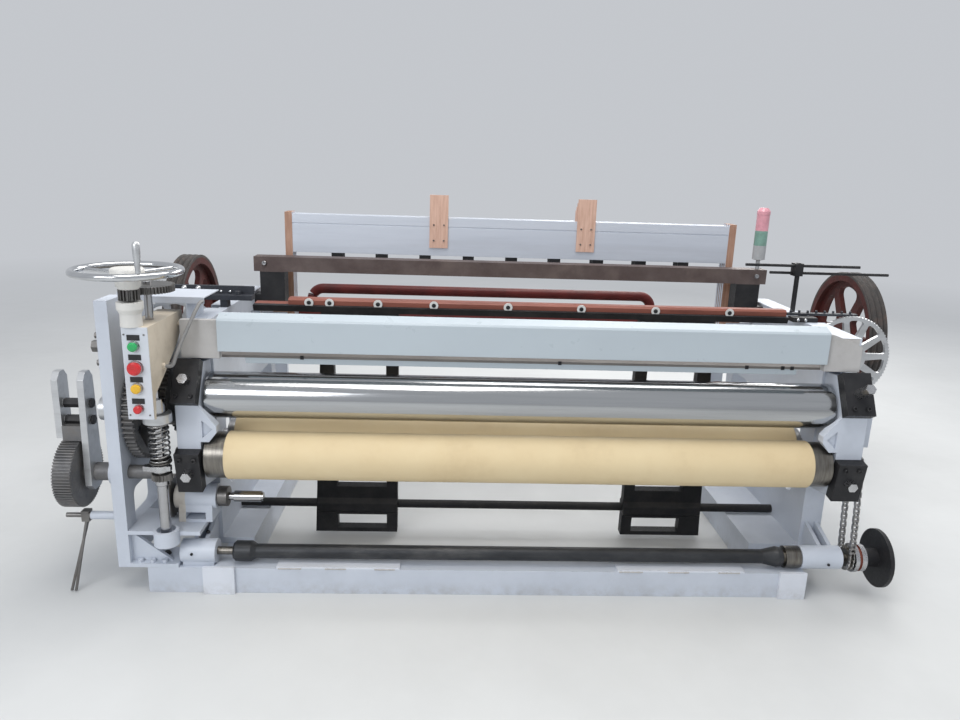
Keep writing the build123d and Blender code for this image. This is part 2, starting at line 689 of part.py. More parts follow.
def buttons():
    """Name, height and radius of each button on the panel."""
    return (("button_green", 768.0, 12.0), ("button_stop", 711.0, 17.5),
            ("button_yellow", 657.0, 12.5), ("button_red", 601.0, 10.5))


def button(z, radius):
    """A button with its stem through the panel and a keeper behind it."""
    stem = min(radius, 9)
    points = [(panel_y + 22, 0), (panel_y + 22, stem), (panel_y - 7, stem), (panel_y - 7, radius),
              (panel_y - 13, radius), (panel_y - 16, radius * 0.7), (panel_y - 16, 0)]
    turned = revolve(make_face(Polyline(*points, close=True)), Axis.X)
    return Pos(button_x, 0, z) * Rot(0, 0, 90) * turned


def rapier_covers():
    """The white bent cover at the upper left and the curved guard over the left rapier wheel."""
    cover = block(-1075, -frame_inner, 60, 200, 857, 860)
    cover += block(-1075, -frame_inner, 60, 60 + sheet, 842, 860)
    cover += block(-958, -955, 60, 200, frame_top, 860)
    cover += block(-958, -920, 60, 120, frame_top, frame_top + sheet)
    guard = Pos(-rapier_x, rapier_y, rapier_z) * Rot(90, 0, 0) * (Cylinder(rapier_r + 6, 40) - Cylinder(rapier_r + 3, 42))
    wedge = [(-rapier_x + 60, rapier_z + 30), (-rapier_x + 160, rapier_z + 30), (-rapier_x + 160, rapier_z + 160),
             (-rapier_x + 60, rapier_z + 130)]
    guard &= prism_y(rapier_y - 20, rapier_y + 20, wedge)
    guard += block(-940, -recess_in, rapier_y - 20, rapier_y + 20, rapier_z + 24, rapier_z + 44)
    return Compound(children=[cover, guard])


def conduit_points():
    """Route of the grey conduit, straight out of the cover's lip and straight into its gland."""
    return [(-912, 60, 849), (-912, 40, 849), (-918, 12, 827), (-927, -14, 796), (-939, -38, 760),
            (-950, -56, 724), (-959, -66, 694), (column_x[1] + 8, -66, 694)]


def control_conduit():
    """The grey conduit from the rapier cover down to the column's side."""
    points = conduit_points()
    radii = []
    for before, here, after in zip(points, points[1:], points[2:]):
        run_a, run_b = Vector(*here) - Vector(*before), Vector(*after) - Vector(*here)
        turn = radians(run_a.get_angle(run_b))
        radii.append(min(0.45 * min(run_a.length, run_b.length) / (sin(turn / 2) / cos(turn / 2)), 80))
    print("conduit radii", [round(r) for r in radii])
    path = FilletPolyline(*points, radius=radii)
    return sweep(Plane(path @ 0, z_dir=path % 0) * Circle(conduit_r), path=path)


def drive_pulley():
    """Ribbed belt pulley on the shaft that drives the left rapier."""
    corners = ((pulley_r - 5, -0.28), (pulley_r, -0.2), (pulley_r, 0.2), (pulley_r - 5, 0.28))
    outline = shifted(toothed(pulley_teeth, corners), drive_y, drive_z)
    pulley = prism_x(*pulley_x, outline)
    steps = [(pulley_x[0] - 14, pulley_x[1], drive_r), (pulley_x[1], plate_out - 14, drive_r + 6),
             (plate_out - 14, -1060, drive_r)]
    return pulley + turned_x(drive_y, drive_z, shaft_profile(steps))


def lever_arms():
    """Two upright levers with two through bolts and a ribbed clamp between them."""
    y, half = drive_y, lever_half
    left, right = lever_x
    head = [(y - half, lever_top - 20), (y - half + 16, lever_top), (y + half - 16, lever_top),
            (y + half, lever_top - 20)]
    foot = drive_z + pulley_r + 7
    outer = prism_x(left, left + lever_wall, [(y - half, foot)] + head + [(y + half, foot)])
    inner = prism_x(right, right + lever_wall, [(y - half - 10, drive_z - 30)] + head + [
        (y + half + 10, drive_z - 30), (y + 18, drive_z - 48), (y - 18, drive_z - 48)])
    inner -= bar_x(right - 1, right + lever_wall + 1, drive_y, drive_z, drive_r + 6 + running_gap)
    for z in (513, 562):
        outer += prism_x(left - 8, right, hexagon(y, z, 24))
        inner += prism_x(right + lever_wall, right + lever_wall + 8, hexagon(y, z, 24))
    clamp = block(left + lever_wall, right, y - 32, y + 32, drive_z + pulley_r + open_gap, 503)
    for k in range(4):
        y0 = y - 26 + 15 * k
        clamp -= block(left + lever_wall - 1, right + 1, y0, y0 + 7, 497, 504)
    return Compound(children=[outer, inner, clamp])


def brake_strut():
    """Sleeve and stud out of the left plate, with a clevis and two thin rods that hang from it."""
    strut = bar_x(-1250, plate_out, 0, 224, 12) + bar_x(-1316, -1250, 0, 224, 7)
    strut += block(-1270, -1248, -12, 12, 208, 240)
    for offset in (0, 12):
        start, end = Vector(-1258, 4 - offset, 210), Vector(-1302 + offset, -45, 6)
        strut += Plane((start + end) / 2, z_dir=end - start) * Box(6, 6, (end - start).length)
    return strut


def main_gear():
    """The large spur gear inside the outer plate on its stub shaft."""
    outline = toothed(main_teeth, spur_corners(main_module, main_teeth), motor_angle)
    gear = prism_x(*main_x, shifted(outline, main_y, main_z))
    for k in range(5):
        hole = [(52, -22), (52, 22), (112, 48), (112, -48)]
        gear -= Pos(0, main_y, main_z) * Rot(72 * k, 0, 0) * prism_x(main_x[0] - 1, main_x[1] + 1, hole)
    return gear + bar_x(-1172, main_x[1] + 4, main_y, main_z, 22)


def motor_axis():
    """Centre of the motor pinion, one gear pair away from the main gear."""
    distance = main_module * (main_teeth + motor_teeth) / 2
    return main_y + distance * cos(radians(motor_angle)), main_z + distance * sin(radians(motor_angle))


def motor_pinion():
    """The motor's pinion on its shaft."""
    y, z = motor_axis()
    phase = motor_angle + 180 + 180 / motor_teeth
    outline = toothed(motor_teeth, spur_corners(main_module, motor_teeth), phase)
    return prism_x(*main_x, shifted(outline, y, z)) + bar_x(main_x[0] + 2, -1010, y, z, 14)


def drive_motor():
    """The finned motor bolted to the left side frame."""
    y, z = motor_axis()
    body = prism_x(-1082, -frame_outer, shifted(toothed(20, ((motor_r - 10, 0), (motor_r - 2, 0.2),
                                                             (motor_r - 2, 0.5), (motor_r - 10, 0.7))), y, z))
    body += bar_x(-frame_outer - 14, -frame_outer, y, z, motor_r)
    return body - bar_x(-1090, -1000, y, z, 14 + running_gap)


def leaned(shape):
    """The upright sley tipped towards the weaver about its rocking shaft."""
    return Pos(0, sley_y, sley_z) * Rot(sley_lean, 0, 0) * Pos(0, -sley_y, -sley_z) * shape


def sley_frame():
    """Rocking shaft and two box swords with windows."""
    pieces = [bar_x(-frame_inner - 28, frame_inner + 28, sley_y, sley_z, sley_r)]
    top = sley_z + beam_reach
    for side in (-1, 1):
        low = sley_z - sword_tail
        outline = [(sword_in, low), (sword_out + 10, low), (sword_out - 30, top), (sword_in - 5, top)]
        sword = prism_y(sley_y - sword_wall / 2, sley_y + sword_wall / 2, outline)
        for low, high in ((-86, -34), (70, 210), (250, 400), (440, 600)):
            hole = rounded_box_outline(sword_in + 35, sword_out - 65, sley_z + low, sley_z + high)
            sword -= prism_y(sley_y - 60, sley_y + 60, hole)
        sword += prism_x(sword_in, sword_out, shifted(toothed(8, ((sley_r + 20, 0.5),)), sley_y, sley_z))
        sword -= bar_x(sword_in - 1, sword_out + 1, sley_y, sley_z, sley_r + running_gap)
        pieces.append(mirrored(sword, side))
    return leaned(Compound(children=pieces))


def sley_beam():
    """The black sley bar with the copper-brown race board and its washers."""
    low = sley_z + beam_reach
    bar = prism_x(sley_left, sley_right, shifted([(-22, 0), (-28, 20), (30, 20), (30, 0)], sley_y, low))
    race = prism_x(race_left, sley_right - 4, shifted([(-14, 20), (-14, 34), (-8, 40), (22, 38), (22, 20)],
                                                      sley_y, low))
    beam = bar + race
    for x in (-656, -593, -444, -271, -40, 190, 425, 661):
        beam += prism_y(sley_y - 19, sley_y - 14, hexagon(x, low + 29, 12))
    return leaned(beam)


def rapier_wheel(side):
    """The toothed rapier wheel: a thin rim with eleven windows about a raised hub."""
    corners = ((rapier_r - 4, 0.0), (rapier_r, 0.5))
    wheel = prism_y(rapier_y - rapier_wall / 2, rapier_y + rapier_wall / 2, toothed(rapier_teeth, corners))
    step = 360 / rapier_windows
    for k in range(rapier_windows):
        hole = []
        for radius, share in ((66, 0.12), (66, -0.12), (76, -0.26), (112, -0.34), (120, -0.28), (120, 0.28),
                              (112, 0.34), (76, 0.26)):
            angle = radians((k + share) * step)
            hole.append((radius * cos(angle), radius * sin(angle)))
        wheel -= prism_y(rapier_y - 20, rapier_y + 20, hole)
    wheel += bar_y(0, rapier_y - 18, rapier_y, 0, 52)
    wheel += bar_y(0, rapier_y - 24, rapier_y + 130, 0, rapier_shaft_r)
    return mirrored(Pos(rapier_x, 0, rapier_z) * wheel, side)


def rapier_gearboxes():
    """The housing behind each rapier wheel, fixed on the outside of the side frame."""
    boxes = []
    for side in (-1, 1):
        y0, y1 = rapier_y + 30, rapier_y + 150
        body = prism_y(y0, y1, [(frame_outer, 590), (1085, 590), (1130, 635), (1130, 705), (1085, 735),
                                (frame_outer, 735)])
        body += prism_y(y0 - 14, y0, shifted(toothed(8, ((42, 0.5),)), rapier_x, rapier_z))
        body -= bar_y(rapier_x, y0 - 15, y1 + 1, rapier_z, rapier_shaft_r + running_gap)
        boxes.append(mirrored(body, side))
    return Compound(children=boxes)


def rapier_guides():
    """The dark guide bracket at the left and the rapier track at the right."""
    foot = (910, 932)
    guide = block(-1110, -834, 285, 325, 813, 828) + block(-1110, -834, 315, 325, 828, 853)
    guide += block(-foot[1], -foot[0], 288, 322, frame_top, 813)
    for x in (-1075, -880):
        guide += prism_z(828, 840, hexagon(x, 300, 18))
    track = block(858, 1097, 309, 331, 805, 812) + block(foot[0], foot[1], 311, 329, frame_top, 805)
    for k in range(8):
        x = 880 + 28 * k
        track += prism_z(812, 820, hexagon(x, 320, 7))
    return Compound(children=[guide, track])


def harness_beam():
    """The dark cross beam before the healds, on two boxes bolted inside the side frames."""
    y0, y1 = harness_y
    beam = block(-905, 905, y0, y1, *harness_z)
    for side in (-1, 1):
        support = prism_y(y0, y1, [(800, 745), (frame_inner, 745), (frame_inner, 780), (885, 780),
                                   (885, harness_z[0]), (800, harness_z[0])])
        beam += mirrored(support, side)
    return beam


def heald_frame(number):
    """Alloy rails with hooks and heald bars, wooden stiles and two wooden guide blocks on the top rail."""
    y0 = heald_y + heald_pitch * number
    y1 = y0 + rail_wall
    top = block(-heald_half, heald_half, y0, y1, heald_rail_low, heald_top)
    top -= block(-heald_half - 1, heald_half + 1, y0 - 1, y0 + 2, heald_top - 35, heald_top - 31)
    for k in range(-4, 5):
        top += block(hook_pitch * k - 20, hook_pitch * k + 20, y0 + 2, y1 - 2, 882, heald_rail_low)
    top += block(-heald_half, heald_half, y0 + 3, y1 - 3, 872, 882)
    bottom = block(-heald_half, heald_half, y0, y1, heald_foot, heald_foot + 60)
    pieces = [top, bottom]
    for side in (-1, 1):
        stile = block(heald_half, post_inner - running_gap, y0 - 1, y1 + 1, heald_foot - 8, heald_top + 6)
        pieces.append(mirrored(stile, side))
    for x in block_x:
        pieces.append(block(x - 33, x + 33, y0 - 6, y0, 948, 1135 - 14 * number))
    return Compound(children=pieces)


def guide_posts():
    """Wooden posts beside the heald frames, on lugs of the side frames."""
    posts = []
    for side in (-1, 1):
        posts.append(mirrored(block(post_inner, 865, 692, 772, 700, 858), side))
    return Compound(children=posts)


def tower_light():
    """Signal tower: stem and grey foot, green tier, red tier and cap."""
    x, y = 880, 630
    foot = turned_z(x, y, [(0, 912), (7, 912), (7, 943), (22, 947), (22, 996), (0, 996)])
    green = bar_z(x, y, 996, 1048, 22)
    red = bar_z(x, y, 1048, 1104, 22)
    cap = turned_z(x, y, [(0, 1104), (23, 1104), (23, 1116), (14, 1128), (0, 1128)])
    return Compound(children=[foot, green, red, cap])


def sensor_rods():
    """The post on the right side frame with two crossing rods."""
    post = prism_z(frame_top, 958, hexagon(946, 450, 15)) + block(932, 960, 440, 474, 914, 956)
    post += prism_x(766, 1157, hexagon(450, 948, 9))
    return post + prism_x(858, 1268, hexagon(466, 922, 9))


def brake_drum(inner_face, side):
    """A spoked brake drum with a V-grooved tread."""
    outer_face = inner_face + side * drum_wall
    x0, x1 = min(inner_face, outer_face), max(inner_face, outer_face)
    groove = drum_wall / drum_grooves
    tread = []
    for k in range(drum_grooves):
        tread += [(x0 + groove * k, drum_r), (x0 + groove * (k + 0.5), drum_r - 9)]
    section = [(x0, drum_r - 26)] + tread + [(x1, drum_r), (x1, drum_r - 26)]
    drum = turned_x(warp_y, warp_z, section)
    mid = (x0 + x1) / 2
    drum += bar_x(mid - 26, mid + 26, warp_y, warp_z, 58)
    for k in range(drum_spokes):
        spoke = prism_x(mid - 9, mid + 9, [(-24, 50), (24, 50), (15, drum_r - 20), (-15, drum_r - 20)])
        drum += Pos(0, warp_y, warp_z) * Rot(360 / drum_spokes * k, 0, 0) * spoke
    return drum - bar_x(x0 - 1, x1 + 1, warp_y, warp_z, warp_shaft_r - 5 + running_gap)


def warp_beam():
    """Barrel and through shaft of the warp beam."""
    inner = frame_inner - 12
    steps = [(drum_faces[0] - drum_wall - 12, -1160, warp_shaft_r - 5), (-1160, -inner, warp_shaft_r),
             (-inner, inner, barrel_r), (inner, 1160, warp_shaft_r),
             (1160, drum_faces[1] + drum_wall + 12, warp_shaft_r - 5)]
    return turned_x(warp_y, warp_z, shaft_profile(steps))


def back_rest():
    """The red back-rest bar on two curved arms from its pivot shaft."""
    rest = bar_x(rest_left, rest_right, rest_y, rest_z, rest_r)
    rest += bar_x(-frame_inner - 28, frame_inner + 28, rest_pivot_y, rest_pivot_z, rest_r)
    arm = [(rest_pivot_y - 26, rest_pivot_z), (rest_pivot_y - 10, rest_pivot_z + 50), (rest_y - 24, rest_z + 18),
           (rest_y, rest_z + 24), (rest_y + 22, rest_z + 10), (rest_y + 16, rest_z - 18),
           (rest_pivot_y + 34, rest_pivot_z + 24), (rest_pivot_y + 24, rest_pivot_z - 14), (rest_pivot_y, rest_pivot_z - 26)]
    for x0 in (rest_left + 2, rest_right - 18):
        rest += prism_x(x0, x0 + 16, arm)
    return rest


nodes = {
    "base_frame": base_frame(),
    "side_frame_left": side_frame(-1),
    "side_frame_right": side_frame(1),
    "outer_plate": outer_plate(),
    "breast_beam": breast_beam(),
    "roller_bracket_left": roller_bracket(-1),
    "roller_bracket_right": roller_bracket(1),
    "pressure_plates": pressure_plates(),
    "pressure_screws": pressure_screws(),
    "front_roller_core": front_roller_core(),
    "front_roller_rubber": front_roller_rubber(),
    "chrome_roller": chrome_roller(),
    "worm_wheel": worm_wheel(),
    "rear_roller": rear_roller(),
    "windup_shaft": windup_shaft(),
    "friction_clutch": friction_clutch(),
    "windup_housings": Compound(children=[windup_housing(-1), windup_housing(1)]),
    "roller_chain": roller_chain(),
    "spindle_housing": spindle_housing(),
    "spindle_shaft": spindle_shaft(),
    "spindle_ratchet": spindle_ratchet(),
    "shaft_bearings": shaft_bearings(),
    "vertical_shaft": vertical_shaft(),
    "pawl_bracket": pawl_bracket(),
    "shaft_spring": shaft_spring(),
    "shaft_gear": shaft_gear(),
    "handwheel": handwheel(),
    "hand_grip": hand_grip(),
    "handwheel_housing": handwheel_housing(),
    "control_column": control_column(),
    "control_conduit": control_conduit(),
    "rapier_covers": rapier_covers(),
    "drive_pulley": drive_pulley(),
    "lever_arms": lever_arms(),
    "brake_strut": brake_strut(),
    "main_gear": main_gear(),
    "motor_pinion": motor_pinion(),
    "drive_motor": drive_motor(),
    "sley_frame": sley_frame(),
    "sley_beam": sley_beam(),
    "rapier_wheel_left": rapier_wheel(-1),
    "rapier_wheel_right": rapier_wheel(1),
    "rapier_gearboxes": rapier_gearboxes(),
    "rapier_guides": rapier_guides(),
    "harness_beam": harness_beam(),
    "guide_posts": guide_posts(),
    "tower_light": tower_light(),
    "sensor_rods": sensor_rods(),
    "warp_beam": warp_beam(),
    "brake_drums": Compound(children=[brake_drum(drum_faces[0], -1), brake_drum(drum_faces[1], 1)]),
    "back_rest": back_rest(),
}
for name, z, radius in buttons():
    nodes[name] = button(z, radius)
for number in range(heald_count):
    nodes[f"heald_frame_{number + 1}"] = heald_frame(number)

os.makedirs("parts", exist_ok=True)
for name, shape in nodes.items():
    export_step(shape, f"parts/{name}.step")
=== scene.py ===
"""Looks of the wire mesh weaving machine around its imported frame: finishes, small fittings, light, camera.

Metres, in the frame's own axes: X along the rollers, Y away from the weaver, Z up.
"""
import math
import random

import bmesh
import bpy
from mathutils import Matrix, Vector


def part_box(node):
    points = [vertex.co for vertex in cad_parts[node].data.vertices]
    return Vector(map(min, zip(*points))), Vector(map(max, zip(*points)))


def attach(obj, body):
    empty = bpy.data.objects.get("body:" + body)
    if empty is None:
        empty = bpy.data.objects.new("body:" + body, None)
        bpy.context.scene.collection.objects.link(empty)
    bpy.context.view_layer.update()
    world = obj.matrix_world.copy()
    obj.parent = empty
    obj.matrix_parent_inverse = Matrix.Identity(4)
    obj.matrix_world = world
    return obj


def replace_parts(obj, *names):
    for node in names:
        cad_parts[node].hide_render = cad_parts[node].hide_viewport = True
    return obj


random.seed(11)
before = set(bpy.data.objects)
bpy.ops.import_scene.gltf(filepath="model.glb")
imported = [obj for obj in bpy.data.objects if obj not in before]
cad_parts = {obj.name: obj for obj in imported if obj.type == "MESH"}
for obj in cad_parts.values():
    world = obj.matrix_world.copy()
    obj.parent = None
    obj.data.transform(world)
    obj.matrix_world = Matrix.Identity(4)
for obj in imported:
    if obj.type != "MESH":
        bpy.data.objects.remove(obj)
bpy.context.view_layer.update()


# Finishes, all made of shader nodes. The ranges say between which values of a noise, or of the cosine
# at a corner, a layer fades in.
cloud_range, spot_range, fine_range = (0.35, 0.65), (0.52, 0.74), (0.3, 0.7)
soil_range, soil_grain, soil_strength = (0.42, 0.66), 22.0, 0.45
bare_range, bare_grain, corner_range = (0.5, 0.62), 60.0, (0.99, 0.85)
rough_least, rough_most = 0.82, 1.2


def add(tree, kind, **inputs):
    """One shader node with some of its inputs set."""
    node = tree.nodes.new(kind)
    for key, value in inputs.items():
        if hasattr(node, key):
            setattr(node, key, value)
        else:
            node.inputs[key.replace("_", " ")].default_value = value
    return node


def maths(tree, operation, first, second):
    """The output of a maths node; an argument is a number or another output."""
    node = tree.nodes.new("ShaderNodeMath")
    node.operation = operation
    for socket, value in zip(node.inputs, (first, second)):
        if isinstance(value, (int, float)):
            socket.default_value = value
        else:
            tree.links.new(value, socket)
    return node.outputs[0]


def mixed(tree, factor, first, second):
    """The colour between two colours or outputs."""
    node = tree.nodes.new("ShaderNodeMix")
    node.data_type = "RGBA"
    for socket, value in zip((node.inputs[0], node.inputs[6], node.inputs[7]), (factor, first, second)):
        if isinstance(value, (int, float)):
            socket.default_value = value
        elif isinstance(value, tuple):
            socket.default_value = (*value, 1.0)
        else:
            tree.links.new(value, socket)
    return node.outputs[2]


def noise(tree, place, scale, stretch=(1, 1, 1), detail=5.0, rough=0.6):
    """The output of a noise texture in the frame's own metres."""
    mapping = add(tree, "ShaderNodeMapping")
    mapping.inputs["Scale"].default_value = stretch
    tree.links.new(place, mapping.inputs["Vector"])
    texture = add(tree, "ShaderNodeTexNoise", Scale=scale, Detail=detail, Roughness=rough)
    tree.links.new(mapping.outputs[0], texture.inputs["Vector"])
    return texture.outputs["Fac"]


def ramp(tree, value, low, high, start=0.0, end=1.0):
    """A value moved from one range to another, held at its ends."""
    node = add(tree, "ShaderNodeMapRange")
    for name, number in (("From Min", low), ("From Max", high), ("To Min", start), ("To Max", end)):
        node.inputs[name].default_value = number
    tree.links.new(value, node.inputs["Value"])
    return node.outputs[0]


def finish_nodes(tree, spec):
    """Adds one finish to a material and returns its shader output.

    The spec gives colour, tint (a second colour), rough, metal, shine, grain (noise per metre), stretch,
    bump (metres), dirt (colour), dirt_amount, soil (height of the dirty foot), worn (colour of worn edges),
    soft (radius of the eased edges) and coat.
    """
    coords = add(tree, "ShaderNodeTexCoord").outputs["Object"]
    stretch = spec.get("stretch", (1, 1, 1))
    grain = spec.get("grain", 14.0)
    cloud = noise(tree, coords, grain, stretch)
    colour = mixed(tree, ramp(tree, cloud, *cloud_range), spec["colour"], spec["tint"])
    dirt = spec.get("dirt", (0.16, 0.12, 0.08))
    amount = spec.get("dirt_amount", 0.25)
    spots = ramp(tree, noise(tree, coords, grain * 0.5, stretch, 8.0, 0.7), *spot_range, 0.0, amount)
    colour = mixed(tree, spots, colour, dirt)
    if spec.get("soil"):
        low = ramp(tree, coordinates(tree)[2], 0.0, spec["soil"], soil_strength, 0.0)
        patch = ramp(tree, noise(tree, coords, soil_grain, (1, 1, 1), 8.0, 0.75), *soil_range)
        colour = mixed(tree, maths(tree, "MULTIPLY", low, patch), colour, dirt)
    fine = noise(tree, coords, grain * 9, stretch, 4.0)
    rough = ramp(tree, fine, *fine_range, spec["rough"] * rough_least, min(spec["rough"] * rough_most, 1.0))
    shader = add(tree, "ShaderNodeBsdfPrincipled", Metallic=spec.get("metal", 0.0))
    shader.inputs["Specular IOR Level"].default_value = spec.get("shine", 0.5)
    bump = add(tree, "ShaderNodeBump", Strength=1.0, Distance=spec.get("bump", 0.0002))
    tree.links.new(fine, bump.inputs["Height"])
    if spec.get("soft"):
        edge = add(tree, "ShaderNodeBevel", Radius=spec["soft"])
        edge.samples = 4
        tree.links.new(edge.outputs[0], bump.inputs["Normal"])
        if spec.get("worn"):
            flat = add(tree, "ShaderNodeNewGeometry").outputs["True Normal"]
            dot = tree.nodes.new("ShaderNodeVectorMath")
            dot.operation = "DOT_PRODUCT"
            tree.links.new(edge.outputs[0], dot.inputs[0])
            tree.links.new(flat, dot.inputs[1])
            bare = maths(tree, "MULTIPLY", ramp(tree, dot.outputs["Value"], *corner_range),
                         ramp(tree, noise(tree, coords, bare_grain), *bare_range))
            colour = mixed(tree, bare, colour, spec["worn"])
    shader.inputs["Coat Weight"].default_value = spec.get("coat", 0.0)
    tree.links.new(colour, shader.inputs["Base Color"])
    tree.links.new(rough, shader.inputs["Roughness"])
    tree.links.new(bump.outputs[0], shader.inputs["Normal"])
    return shader.outputs[0]


def coordinates(tree):
    """The three outputs for X, Y and Z in the frame."""
    split = add(tree, "ShaderNodeSeparateXYZ")
    tree.links.new(add(tree, "ShaderNodeTexCoord").outputs["Object"], split.inputs[0])
    return split.outputs


def inside(tree, low, high):
    """1 inside a box given by two corners, 0 outside; None leaves a side open."""
    place = coordinates(tree)
    result = None
    for axis in range(3):
        for limit, operation in ((low[axis], "GREATER_THAN"), (high[axis], "LESS_THAN")):
            if limit is None:
                continue
            test = maths(tree, operation, place[axis], limit)
            result = test if result is None else maths(tree, "MULTIPLY", result, test)
    return result


def beyond(tree, y, z, radius):
    """1 farther than radius from the line along X through (y, z), 0 nearer."""
    place = coordinates(tree)
    squares = []
    for axis, centre in ((1, y), (2, z)):
        offset = maths(tree, "SUBTRACT", place[axis], centre)
        squares.append(maths(tree, "MULTIPLY", offset, offset))
    return maths(tree, "GREATER_THAN", maths(tree, "ADD", *squares), radius * radius)


def material(name, spec, *places):
    """A material with one finish and others in places: (spec, low, high) or (spec, y, z, radius)."""
    made = bpy.data.materials.new(name)
    made.use_nodes = True
    tree = made.node_tree
    tree.nodes.clear()
    output = finish_nodes(tree, spec)
    for other, *where in places:
        mask = inside(tree, *where) if len(where) == 2 else beyond(tree, *where)
        blend = tree.nodes.new("ShaderNodeMixShader")
        tree.links.new(mask, blend.inputs[0])
        tree.links.new(output, blend.inputs[1])
        tree.links.new(finish_nodes(tree, other), blend.inputs[2])
        output = blend.outputs[0]
    end = add(tree, "ShaderNodeOutputMaterial")
    tree.links.new(output, end.inputs[0])
    return made


PAINT = dict(colour=(0.56, 0.60, 0.67), tint=(0.52, 0.56, 0.63), rough=0.42, soft=0.0015, soil=0.045,
             worn=(0.33, 0.33, 0.35), dirt=(0.27, 0.24, 0.20), dirt_amount=0.08, bump=0.00012, grain=9.0)
PANEL = dict(colour=(0.46, 0.52, 0.56), tint=(0.44, 0.495, 0.535), rough=0.32, soft=0.002,
             dirt_amount=0.05, dirt=(0.36, 0.38, 0.39), bump=0.00005, grain=3.0, coat=0.15)
CASTING = dict(colour=(0.50, 0.49, 0.48), tint=(0.44, 0.43, 0.42), rough=0.48, soft=0.0018,
               worn=(0.30, 0.28, 0.26), dirt=(0.24, 0.21, 0.18), dirt_amount=0.20, bump=0.0003, grain=12.0)
BEIGE = dict(colour=(0.60, 0.57, 0.52), tint=(0.54, 0.50, 0.44), rough=0.48, soft=0.0018,
             worn=(0.30, 0.28, 0.26), dirt=(0.20, 0.15, 0.10), dirt_amount=0.25, bump=0.0003, grain=16.0)
COLUMN = dict(colour=(0.62, 0.55, 0.45), tint=(0.56, 0.49, 0.39), rough=0.5, soft=0.0012,
              dirt_amount=0.35, dirt=(0.22, 0.18, 0.13), bump=0.0001, grain=10.0, worn=(0.35, 0.33, 0.3))
CREAM = dict(PAINT, colour=(0.66, 0.65, 0.62), tint=(0.60, 0.59, 0.56))
# Painted light: a lighter copy of the frame paint for the lit front faces of the base beam and the pads on
# it
LIT_FRONT_PAINT = dict(PAINT, colour=(0.68, 0.71, 0.77), tint=(0.64, 0.67, 0.73))
FRONT_PLATE = dict(PAINT, colour=(0.60, 0.63, 0.68), tint=(0.57, 0.60, 0.65), soil=0.0)
BLACK = dict(colour=(0.010, 0.010, 0.012), tint=(0.022, 0.022, 0.024), rough=0.48, shine=0.35,
             soft=0.0015, worn=(0.16, 0.155, 0.15), dirt=(0.07, 0.06, 0.05), dirt_amount=0.2, bump=0.0001)
SLATE = dict(BLACK, colour=(0.042, 0.046, 0.056), tint=(0.030, 0.033, 0.041))
SLEY = dict(colour=(0.010, 0.0105, 0.012), tint=(0.020, 0.020, 0.022), rough=0.55, shine=0.3, soft=0.002,
            dirt=(0.05, 0.045, 0.04), dirt_amount=0.3, bump=0.0002)
DRUM = dict(colour=(0.080, 0.017, 0.014), tint=(0.050, 0.012, 0.010), rough=0.6, grain=12.0, soft=0.002,
            shine=0.25, dirt=(0.03, 0.022, 0.02), dirt_amount=0.5, bump=0.0003)
DARK_PAINT = dict(colour=(0.035, 0.037, 0.042), tint=(0.055, 0.056, 0.06), rough=0.5, soft=0.002,
                  dirt=(0.14, 0.12, 0.10), dirt_amount=0.35, bump=0.0002)
CHROME = dict(colour=(0.62, 0.63, 0.64), tint=(0.56, 0.57, 0.585), rough=0.13, metal=1.0, grain=5.0,
              stretch=(0.2, 6, 6), dirt=(0.30, 0.29, 0.28), dirt_amount=0.25, bump=0.00001)
BRIGHT = dict(colour=(0.56, 0.56, 0.57), tint=(0.44, 0.44, 0.45), rough=0.28, metal=1.0, grain=20.0,
              soft=0.001, dirt=(0.10, 0.08, 0.06), dirt_amount=0.45, bump=0.00008)
TURNED = dict(BRIGHT, stretch=(8, 1, 1), rough=0.33)
SMOOTH = dict(colour=(0.50, 0.50, 0.51), tint=(0.44, 0.44, 0.45), rough=0.17, metal=1.0, grain=6.0,
              soft=0.001, dirt=(0.22, 0.20, 0.18), dirt_amount=0.3, bump=0.00003)
DULL_STEEL = dict(TURNED, colour=(0.24, 0.225, 0.20), tint=(0.17, 0.16, 0.145), dirt_amount=0.6)
STEEL = dict(colour=(0.16, 0.155, 0.15), tint=(0.25, 0.24, 0.23), rough=0.42, metal=0.9, grain=18.0,
             soft=0.001, dirt=(0.06, 0.045, 0.035), dirt_amount=0.6, bump=0.00015)
SPRING = dict(BRIGHT, colour=(0.40, 0.39, 0.38), tint=(0.30, 0.295, 0.29), rough=0.25, dirt_amount=0.3)
CHAIN = dict(BRIGHT, colour=(0.50, 0.49, 0.48), tint=(0.36, 0.35, 0.34), rough=0.32)
ROLLER = dict(CHROME, colour=(0.50, 0.51, 0.515), tint=(0.44, 0.45, 0.46), rough=0.15)
WARP = dict(DULL_STEEL, stretch=(0.4, 2, 2), grain=5.0, dirt_amount=0.4)
PIPE = dict(colour=(0.030, 0.032, 0.036), tint=(0.058, 0.060, 0.064), rough=0.45, metal=0.5, grain=12.0,
            shine=0.4, stretch=(0.6, 2, 2), dirt=(0.14, 0.135, 0.13), dirt_amount=0.5, bump=0.0002)
IRON = dict(colour=(0.15, 0.15, 0.155), tint=(0.22, 0.215, 0.21), rough=0.55, metal=0.6, grain=30.0,
            soft=0.0012, dirt=(0.08, 0.06, 0.05), dirt_amount=0.5, bump=0.0004)
ALLOY = dict(colour=(0.62, 0.63, 0.64), tint=(0.54, 0.55, 0.56), rough=0.36, metal=0.85, grain=12.0,
             soft=0.001, stretch=(0.3, 3, 3), dirt=(0.30, 0.28, 0.26), dirt_amount=0.25, bump=0.00006)
RAIL = dict(colour=(0.62, 0.66, 0.73), tint=(0.56, 0.60, 0.67), rough=0.38, metal=0.25, grain=5.0,
            stretch=(0.3, 1, 4), dirt=(0.42, 0.42, 0.43), dirt_amount=0.25, bump=0.00005, soft=0.001)
